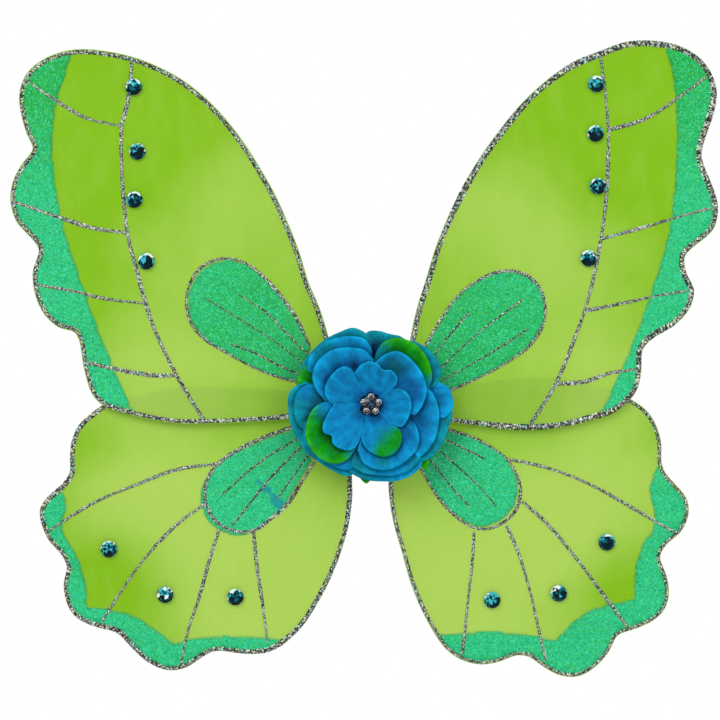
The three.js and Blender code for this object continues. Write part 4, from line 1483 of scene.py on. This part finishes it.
def make_piping(centre, half):
    """A corded edge sewn into the pad's seam."""
    line = pad_edge(centre, half, 1.25, 180)
    sides = 10
    vertices, weave, folds = [], [], []
    for i, (point, away) in enumerate(zip(line, outwards(line))):
        twist = 0.12 * math.sin(i * 0.9)
        for k in range(sides):
            t = k / sides * math.tau
            x, z = point + away * (CORD + twist * math.cos(2 * t)) * math.cos(t)
            vertices.append((x, centre[1] + CORD * math.sin(t), z))
            weave.append((k * 0.7, i * 0.8))
            # Painted shade that comes and goes along the piping, for its ripples.
            folds.append(0.75 + 0.25 * math.sin(i * 1.3))
    faces = grid_faces(len(line), sides, closed=True)
    last = (len(line) - 1) * sides
    faces += [(last + k, last + (k + 1) % sides, (k + 1) % sides, k) for k in range(sides)]
    finish_piece(make_tape("pad_piping", vertices, faces, weave, folds), "root", "tape")


def make_stitches(pad, centre, half):
    """Thread stitches along the pad's seam, and three rows of them across each strap's end."""
    tree = BVHTree.FromPolygons([v.co for v in pad.data.vertices], [p.vertices for p in pad.data.polygons])
    parts = []
    line = pad_edge(centre, half, 3.6, 110)
    for face in (-1, 1):
        for point, way in zip(line[::2], direction(line, closed=True)[::2]):
            parts.append(stitch(tree, point, way, face, 2.3))
    for side in (-1, 1):
        for end in (-1, 1):
            for row in range(3):
                for k in range(4):
                    spot = np.array([side * 9.6 + (k - 1.5) * 2.4, end * (half[2] - 5.4 - row * 1.3)])
                    parts.append(stitch(tree, spot, np.array([1.0, 0.0]), 1, 1.7))
    vertices, faces = joined(parts)
    obj = make_mesh("pad_stitching", vertices * MM, faces, THREAD)
    finish_piece(obj, "root", "elastic")


def stitch(tree, point, way, face, length):
    """One stitch of thread on the pad's front (-1) or back (1): a short strand that dips at both ends."""
    vertices = []
    side = np.array([-way[1], way[0]])
    rows, sides = 7, 6
    for share in np.linspace(-1, 1, rows):
        thick = 0.30 * math.sqrt(max(0.05, 1 - share ** 4))
        middle = np.asarray(point) + way * share * length / 2
        above = Vector((middle[0] * MM, face * 0.05, middle[1] * MM))
        ground = tree.ray_cast(above, Vector((0, -face, 0)))[0][1] / MM
        for t in np.linspace(0, math.tau, sides, endpoint=False):
            place = middle + side * thick * math.cos(t)
            vertices.append((place[0], ground + thick * math.sin(t), place[1]))
    return np.array(vertices), grid_faces(rows, sides, closed=True) + end_faces(rows, sides)


# ---------------------------------------------------------------- making everything

NYLON = nylon_finish()
SILVER_FLAKES = silver_flake_finish()
TEAL_PAINT = teal_paint_finish()
STONE = stone_finish()
STEEL = steel_finish()
PETAL = petal_finish("petal_cloth")
LEAF = petal_finish("leaf_cloth")
SILVER = silver_finish("bright_silver", (0.80, 0.79, 0.76), (0.07, 0.065, 0.06))
# Painted shade: the back plate is dark all over, for the recess behind the stones.
RECESS_SHADE = silver_finish("oxidised_plate", (0.05, 0.06, 0.08), (0.01, 0.015, 0.025))
CRYSTAL = crystal_finish()
HEART_STONE = heart_stone_finish()
TAPE = woven_finish("wound_tape", (0.035, 0.15, 0.012), (0.13, 0.40, 0.05), 0.55, 1.1, shaded_folds=True)
ELASTIC = woven_finish("woven_elastic", (0.13, 0.36, 0.02), (0.30, 0.64, 0.06), 0.6, 1.4)
THREAD = woven_finish("thread", (0.30, 0.60, 0.08), (0.5, 0.8, 0.2), 2.0, 2.0)
FELT = felt_finish("pressed_felt", (0.012, 0.12, 0.015), (0.05, 0.32, 0.06))
PAD = felt_finish("pad_felt", (0.06, 0.27, 0.02), (0.15, 0.48, 0.05))

for number, wing_name in enumerate(UPPER + LOWER):
    wing = Wing(wing_name)
    random = np.random.default_rng(SEED + number)
    make_skin(wing)
    make_glitter(wing, random)
    make_margin(wing)
    make_teardrop(wing)
    make_stones(wing, random)
    make_lashing(wing)
    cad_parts[wing_name + "_wire"].data.materials[0] = STEEL

random = np.random.default_rng(SEED + 10)
HEART = seat_of("brooch_heart_stone")[0]
make_brooch(random)
for layer, (depth, lean, band, petals) in LAYERS.items():
    make_petal_layer(layer, depth, lean, band, petals, random)
make_binding("centre_binding", "binding_tape", "root")
for number, side in enumerate(("left", "right")):
    make_binding(side + "_root_binding", side + "_root_tape", side + "_side")
    make_strap(side, number)
make_felt()
make_pad()


# ---------------------------------------------------------------- studio

def add_light(name, place, size, power):
    """A square soft light that looks at the wings' middle."""
    light = bpy.data.lights.new(name, "AREA")
    light.size = size
    light.energy = power
    obj = bpy.data.objects.new(name, light)
    obj.location = place
    obj.rotation_euler = (-Vector(place)).to_track_quat("-Z", "Y").to_euler()
    bpy.context.scene.collection.objects.link(obj)


def make_studio():
    scene = bpy.context.scene
    scene.view_settings.view_transform = "Standard"
    # The room lights the wings softly, and looks white behind them
    world = bpy.data.worlds.new("studio")
    world.use_nodes = True
    tree = world.node_tree
    lit = tree.nodes["Background"]
    lit.inputs["Color"].default_value = (1, 1, 1, 1)
    lit.inputs["Strength"].default_value = 0.565
    seen = tree.nodes.new("ShaderNodeBackground")
    seen.inputs["Strength"].default_value = 1.0
    seen.inputs["Color"].default_value = (1, 1, 1, 1)
    path = tree.nodes.new("ShaderNodeLightPath")
    join = tree.nodes.new("ShaderNodeMixShader")
    tree.links.new(path.outputs["Is Camera Ray"], join.inputs[0])
    tree.links.new(lit.outputs[0], join.inputs[1])
    tree.links.new(seen.outputs[0], join.inputs[2])
    tree.links.new(join.outputs[0], tree.nodes["World Output"].inputs["Surface"])
    scene.world = world

    add_light("front_softbox", (-0.9, -2.0, 1.4), 1.6, 28)
    add_light("fill_softbox", (1.3, -1.8, 0.4), 1.4, 10)
    add_light("back_softbox", (0.4, 1.9, 1.5), 1.6, 18)

    floor = bpy.data.meshes.new("floor")
    around = np.linspace(0, math.tau, 96, endpoint=False)
    ring = [(FLOOR_REACH * math.cos(t), FLOOR_REACH * math.sin(t), FLOOR_HIGH) for t in around]
    floor.from_pydata(ring, [], [tuple(range(len(ring)))])
    floor.materials.append(floor_finish())
    ground = bpy.data.objects.new("floor", floor)
    scene.collection.objects.link(ground)

    camera = bpy.data.cameras.new("camera")
    camera.lens = 112.5
    camera.sensor_width = 36
    camera.clip_end = 20
    eye = bpy.data.objects.new("camera", camera)
    eye.location = EYE
    eye.rotation_euler = (math.radians(90), 0, 0)
    scene.collection.objects.link(eye)
    scene.camera = eye


make_studio()
